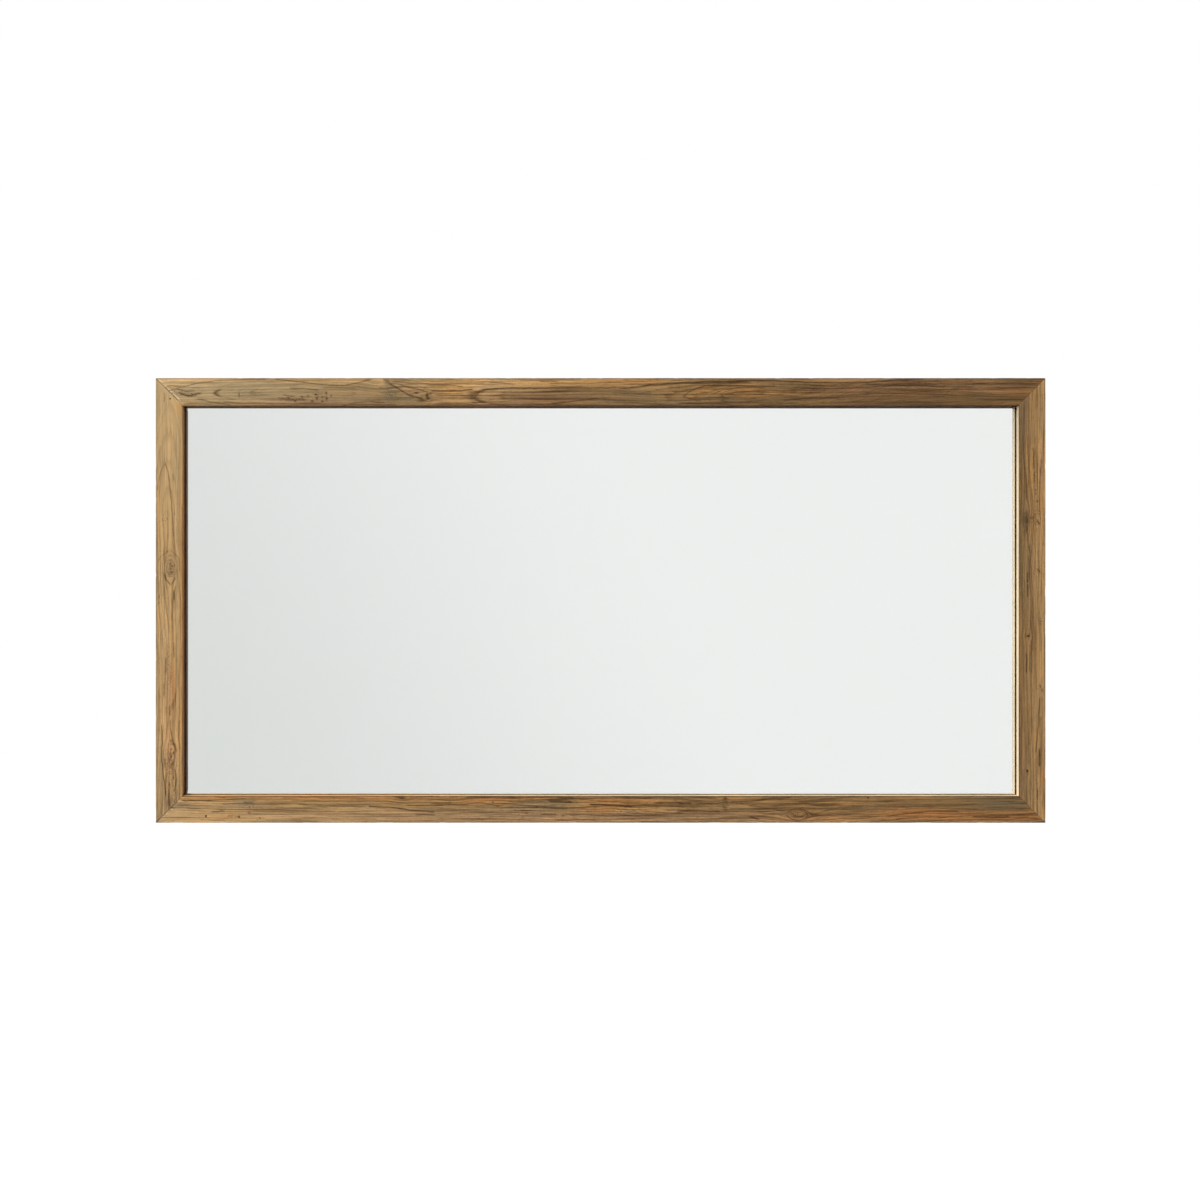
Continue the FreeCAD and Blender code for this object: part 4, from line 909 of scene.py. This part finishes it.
# Mitre biscuits
# Pressed beech ovals glued into slots across each mitre. They key the joints, and swell to fill
# their slots. The frame hides them once it is glued up.
def object_place(tree, stretch=(1, 1, 1)):
    """A place on the piece in mm, drawn out along its three axes."""
    place = add_node(tree, "ShaderNodeTexCoord").outputs["Object"]
    return stretched(tree, place, tuple(factor / MM for factor in stretch))


def dress(prefix, material):
    """Gives a finish to every CAD piece whose name starts with these words."""
    for name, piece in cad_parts.items():
        if name.startswith(prefix):
            piece.data.materials.clear()
            piece.data.materials.append(material)


beech, tree, shader = new_finish("pressed beech")
flecks = noise(tree, object_place(tree, (0.5, 2.0, 0.5)), 1.0, 4)
fleck_dark = step_up(tree, flecks, 0.5, 0.7)
colour = mix_colours(tree, fleck_dark, paint(206, 172, 130), paint(172, 128, 88))
wire(tree, shader, {"Base Color": colour, "Roughness": scale_add(tree, flecks, 0.2, 0.6)})
add_bump(tree, shader, flecks, 0.2)
dress("mitre_biscuit", beech)

# Foam tape
# Thin closed-cell foam stuck under the lip, which the glass is pressed against. Its cells show as
# small pits.
foam, tree, shader = new_finish("closed-cell foam")
cells = add_node(tree, "ShaderNodeTexVoronoi", {"Vector": object_place(tree), "Scale": 2.2})
pits = step_up(tree, cells.outputs["Distance"], 0.1, 0.6)
colour = mix_colours(tree, pits, paint(40, 40, 41), paint(64, 64, 65))
wire(tree, shader, {"Base Color": colour, "Roughness": 0.9})
add_bump(tree, shader, pits, 0.25)
dress("foam_tape", foam)

# Glass packers
# Blocks of black setting rubber in the gap round the glass, which carry its weight and keep its
# edge off the wood.
packer_rubber, tree, shader = new_finish("setting rubber")
bloom = noise(tree, object_place(tree), 0.35, 4, 0.6)
colour = mix_colours(tree, bloom, paint(34, 34, 36), paint(62, 62, 62))
wire(tree, shader, {"Base Color": colour, "Roughness": scale_add(tree, bloom, 0.25, 0.6)})
add_bump(tree, shader, bloom, 0.15)
dress("glass_packer", packer_rubber)

# Mirror glass
# One sheet of clear float glass, 4 mm thick, with ground edges. It has the faint green of plain
# float glass.
float_glass, tree, shader = new_finish("clear float glass")
haze = noise(tree, object_place(tree), 0.004, 2)
colour = mix_colours(tree, haze, (0.985, 0.996, 0.990, 1), (0.992, 0.998, 0.994, 1))
wire(tree, shader, {"Base Color": colour, "Transmission Weight": 1.0, "Roughness": 0.0, "IOR": 1.52})
dress("mirror_glass", float_glass)

# Silvering
# The reflecting layer on the back of the glass, with a coat of grey paint over it. It is modelled as
# a sheet a hair's breadth behind the glass, bright on its front and painted behind.
silver_front = -21.975
silver_back = -21.915
silver_half_width = 856.0
silver_half_height = 406.0

silver, tree, shader = new_finish("mirror silvering")
breath = noise(tree, object_place(tree), 0.003, 2)
colour = mix_colours(tree, breath, (0.918, 0.928, 0.920, 1), (0.932, 0.940, 0.934, 1))
wire(tree, shader, {"Base Color": colour, "Metallic": 1.0, "Roughness": 0.0})
mirror_paint, tree, shader = new_finish("mirror backing paint")
mottle = noise(tree, object_place(tree), 0.06, 5, 0.6)
colour = mix_colours(tree, mottle, paint(98, 106, 108), paint(120, 126, 126))
wire(tree, shader, {"Base Color": colour, "Roughness": 0.55})
points = []
for y in (silver_front, silver_back):
    for x, z in ((-1, -1), (1, -1), (1, 1), (-1, 1)):
        points.append((x * silver_half_width * MM, y * MM, z * silver_half_height * MM))
sides = [(0, 1, 2, 3), (7, 6, 5, 4), (1, 0, 4, 5), (2, 1, 5, 6), (3, 2, 6, 7), (0, 3, 7, 4)]
mesh = bpy.data.meshes.new("silvering_sheet")
mesh.from_pydata(points, [], sides)
for face in mesh.polygons[1:]:
    face.material_index = 1
silvering = put("silvering_sheet", mesh)
silvering.data.materials.append(silver)
silvering.data.materials.append(mirror_paint)
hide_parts("silvering")
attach(silvering, "frame")

# Backing board
# A sheet of 5 mm plywood that lies in the second step of the rebate and holds the glass forward.
# Its face veneer runs the long way, and its edges show the plies.
veneer_figure, given, result = shade_group(
    "veneer figure",
    {"Place": "Vector"},
    {"Colour": "Color", "Height": "Float"},
)
tree = veneer_figure
flow = noise(tree, stretched(tree, given["Place"], (0.0016, 0.03, 0.011)), 1.0, 2, 0.4)
upward = split(tree, given["Place"])[2]
rings = scale_add(tree, flow, 19.0, times(tree, upward, 0.035))
rings = maths(tree, "FRACT", rings)
late = times(tree, step_up(tree, rings, 0.3, 0.95), step_up(tree, rings, 1.0, 0.94))
long_place = stretched(tree, given["Place"], (0.03, 1.0, 1.0))
veins = noise(tree, long_place, 0.9, 4, 0.6)
pores = step_up(tree, noise(tree, long_place, 2.3, 2), 0.58, 0.7)
patches = noise(tree, given["Place"], 0.006, 3)
colour = mix_colours(tree, late, paint(203, 172, 128), paint(186, 150, 106))
colour = mix_colours(tree, times(tree, patches, 0.35), colour, paint(168, 132, 92))
bright = scale_add(tree, veins, 0.5, 0.75)
bright = scale_add(tree, pores, -0.18, bright)
colour = brightened(tree, colour, bright)
wire(tree, result, {"Colour": colour, "Height": maths(tree, "SUBTRACT", veins, pores)})

plywood, tree, shader = new_finish("plywood")
place = object_place(tree)
veneer = place_group(tree, veneer_figure, {"Place": place})
facing = split(tree, add_node(tree, "ShaderNodeNewGeometry").outputs["True Normal"])
at_edge = step_up(tree, maths(tree, "ABSOLUTE", facing[1]), 0.6, 0.3)
layer = maths(tree, "FRACT", times(tree, split(tree, place)[1], 0.5))
layer_dark = step_up(tree, maths(tree, "PINGPONG", layer, 0.5), 0.2, 0.3)
edge_colour = mix_colours(tree, layer_dark, paint(196, 164, 120), paint(146, 108, 72))
colour = mix_colours(tree, at_edge, veneer["Colour"], edge_colour)
wire(tree, shader, {"Base Color": colour, "Roughness": 0.72})
add_bump(tree, shader, veneer["Height"], 0.12)
dress("backing_board", plywood)

# Screws
# Zinc-plated wood screws with crossed recesses: countersunk ones through the board's edge, and
# through the plates and the hangers, and pan heads inside the bumpers.
plating, given, result = shade_group(
    "zinc plating",
    {"Place": "Vector", "Bright": "Color", "Dull": "Color"},
    {"Colour": "Color", "Roughness": "Float", "Height": "Float"},
)
tree = plating
spangle = add_node(tree, "ShaderNodeTexVoronoi", {"Vector": given["Place"], "Scale": 0.5})
cloud = noise(tree, given["Place"], 0.18, 4, 0.6)
scratch_place = stretched(tree, given["Place"], (0.25, 3.0, 1.4))
scratch = step_up(tree, noise(tree, scratch_place, 1.6, 2), 0.6, 0.75)
tarnish = step_up(tree, noise(tree, given["Place"], 0.07, 5, 0.65), 0.52, 0.75)
amount = scale_add(tree, spangle.outputs["Color"], 0.35, times(tree, cloud, 0.6))
colour = mix_colours(tree, amount, given["Bright"], given["Dull"])
colour = mix_colours(tree, times(tree, tarnish, 0.6), colour, paint(112, 108, 100))
rough = scale_add(tree, cloud, 0.25, 0.24)
rough = scale_add(tree, tarnish, 0.25, rough)
rough = scale_add(tree, scratch, 0.1, rough)
height = scale_add(tree, scratch, -0.8, cloud)
wire(tree, result, {"Colour": colour, "Roughness": rough, "Height": height})


def zinc(name, bright, dull):
    """A plated steel finish between two greys."""
    material, tree, shader = new_finish(name)
    inputs = {"Place": object_place(tree), "Bright": paint(*bright), "Dull": paint(*dull)}
    plated = place_group(tree, plating, inputs)
    inputs = {"Base Color": plated["Colour"], "Roughness": plated["Roughness"], "Metallic": 1.0}
    wire(tree, shader, inputs)
    add_bump(tree, shader, plated["Height"], 0.03)
    return material


def ease_edges(piece, width):
    """Rounds the sharp edges of a CAD piece."""
    weld = piece.modifiers.new("join", "WELD")
    weld.merge_threshold = 0.002 * MM
    bevel = piece.modifiers.new("ease", "BEVEL")
    bevel.width = width * MM
    bevel.segments = 2
    bevel.limit_method = "ANGLE"
    bevel.angle_limit = sharp_angle
    normals = piece.modifiers.new("even", "WEIGHTED_NORMAL")
    normals.keep_sharp = True


screw_zinc = zinc("zinc-plated screw", (192, 186, 166), (126, 120, 104))
for words in ("backing_board_screws", "corner_plate_screws", "hanger_screws", "wall_bumper_screws"):
    dress(words, screw_zinc)

# Corner plates
# Flat L plates of zinc-plated steel, stamped from sheet. Four screws hold each one across the back
# of a mitre, and it keeps the joint shut.
plate_zinc = zinc("zinc-plated plate", (190, 194, 196), (138, 143, 147))
frame_corners = ("bottom_left", "bottom_right", "top_right", "top_left")
for corner in frame_corners:
    dress("corner_plate_" + corner, plate_zinc)
    ease_edges(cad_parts["corner_plate_" + corner], 0.35)

# Strap hangers
# A steel strap rolled round the bar of a D-shaped ring, and held by two screws. Two hangers hang the
# mirror wide, and two hang it upright. Each ring swings on its bar.
strap_zinc = zinc("zinc-plated strap", (200, 198, 190), (150, 148, 142))
ring_wire = zinc("zinc-plated ring wire", (212, 212, 208), (172, 172, 168))
for hanger in ("left", "right", "top", "bottom"):
    dress("hanger_strap_" + hanger, strap_zinc)
    dress("hanger_ring_" + hanger, ring_wire)
    ease_edges(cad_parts["hanger_strap_" + hanger], 0.25)

# Wall bumpers
# Moulded rubber feet, each held to the back of a rail by one screw. They keep the frame off the wall
# and stop it slipping.
bumper_rubber, tree, shader = new_finish("moulded rubber")
place = object_place(tree)
dust = noise(tree, place, 0.22, 4, 0.6)
grit = noise(tree, place, 3.0, 2)
colour = mix_colours(tree, dust, paint(40, 40, 41), paint(72, 71, 69))
wire(tree, shader, {"Base Color": colour, "Roughness": scale_add(tree, dust, 0.25, 0.55)})
add_bump(tree, shader, grit, 0.12)
for corner in frame_corners:
    dress("wall_bumper_" + corner, bumper_rubber)

# Studio
# A white room: a wide white floor, a white background, soft light from the upper left and a weaker
# one from the right. The mirror and the metal reflect a pale grey that is lighter to the right.
floor_height = -1.25
floor_half = 7.0


def rays(tree):
    """Whether a ray comes from the camera, and whether it comes off a mirror or through glass."""
    ray = add_node(tree, "ShaderNodeLightPath").outputs
    return ray["Is Camera Ray"], maths(tree, "MAXIMUM", ray["Is Glossy Ray"], ray["Is Transmission Ray"])


floor_white, tree, shader = new_finish("studio floor")
from_camera, reflected = rays(tree)
mottle = noise(tree, object_place(tree), 0.002, 2)
floor_colour = mix_colours(tree, mottle, (0.80, 0.80, 0.80, 1), (0.82, 0.82, 0.82, 1))
matt = add_node(tree, "ShaderNodeBsdfDiffuse", {"Color": floor_colour})
faint = add_node(tree, "ShaderNodeBsdfDiffuse", {"Color": (0.30, 0.30, 0.30, 1)})
glow = add_node(tree, "ShaderNodeEmission", {"Color": (1, 1, 1, 1), "Strength": 0.80})
seen = add_node(tree, "ShaderNodeAddShader", {0: faint.outputs[0], 1: glow.outputs[0]})
lit = add_node(tree, "ShaderNodeMixShader", {0: from_camera, 1: matt.outputs[0], 2: seen.outputs[0]})
clear = add_node(tree, "ShaderNodeBsdfTransparent")
surface = add_node(tree, "ShaderNodeMixShader", {0: reflected, 1: lit.outputs[0], 2: clear.outputs[0]})
wire(tree, tree.nodes["Material Output"], {"Surface": surface.outputs[0]})
mesh = bpy.data.meshes.new("studio_floor")
floor_edges = ((-1, -1), (1, -1), (1, 1), (-1, 1))
points = [(x * floor_half, y * floor_half, floor_height) for x, y in floor_edges]
mesh.from_pydata(points, [], [(0, 1, 2, 3)])
floor = put("studio_floor", mesh)
floor.data.materials.append(floor_white)

world = bpy.data.worlds.new("white studio")
bpy.context.scene.world = world
world.use_nodes = True
tree = world.node_tree
tree.nodes.clear()
from_camera, reflected = rays(tree)
way = split(tree, add_node(tree, "ShaderNodeTexCoord").outputs["Generated"])
rightward = step_up(tree, scale_add(tree, way[2], 0.5, way[0]), -0.41, 0.147)
room_grey = mix_colours(tree, rightward, (0.768, 0.775, 0.766, 1), (0.940, 0.934, 0.936, 1))
room = mix_colours(tree, reflected, (0.38, 0.38, 0.385, 1), room_grey)
room = mix_colours(tree, from_camera, room, (1, 1, 1, 1))
background = add_node(tree, "ShaderNodeBackground", {"Color": room, "Strength": 1.0})
add_node(tree, "ShaderNodeOutputWorld", {"Surface": background.outputs[0]})


def aim(thing, place, target):
    """Puts a lamp or camera at a place, looking at a target."""
    thing.location = place
    thing.rotation_euler = (Vector(target) - Vector(place)).to_track_quat("-Z", "Y").to_euler()


def add_lamp(name, kind, place, target, **settings):
    """A soft lamp that shows in no reflection."""
    data = bpy.data.lights.new(name, kind)
    for label, value in settings.items():
        setattr(data, label, value)
    lamp = put(name, data)
    aim(lamp, place, target)
    lamp.visible_glossy = False
    lamp.visible_transmission = False


add_lamp("key_light", "SUN", (-3.4, -2.4, 2.2), (0, 0, 0), energy=2.0, angle=math.radians(16))
add_lamp("left_light", "AREA", (-3.2, -1.6, 0.5), (-0.3, 0, 0), shape="SQUARE", size=1.6, energy=50)
add_lamp("right_light", "AREA", (3.0, -2.6, 0.4), (0.3, 0, 0), shape="SQUARE", size=2.0, energy=15)
add_lamp("back_light", "AREA", (1.6, 3.2, 2.2), (0, 0, 0), shape="SQUARE", size=2.4, energy=110)

# Camera
# It looks square on to the mirror from 2.4 m in front of it and a little left of its middle. The
# picture is shifted sideways, so that the mirror still stands in its middle.
camera_data = bpy.data.cameras.new("camera")
camera_data.lens = 34.85
camera_data.shift_x = 0.0382
camera_data.sensor_width = 36.0
camera_data.clip_end = 60.0
camera = put("camera", camera_data)
aim(camera, (-0.094, -2.39, 0.0009), (-0.094, 0, 0.0009))
bpy.context.scene.camera = camera
bpy.context.scene.view_settings.view_transform = "Standard"
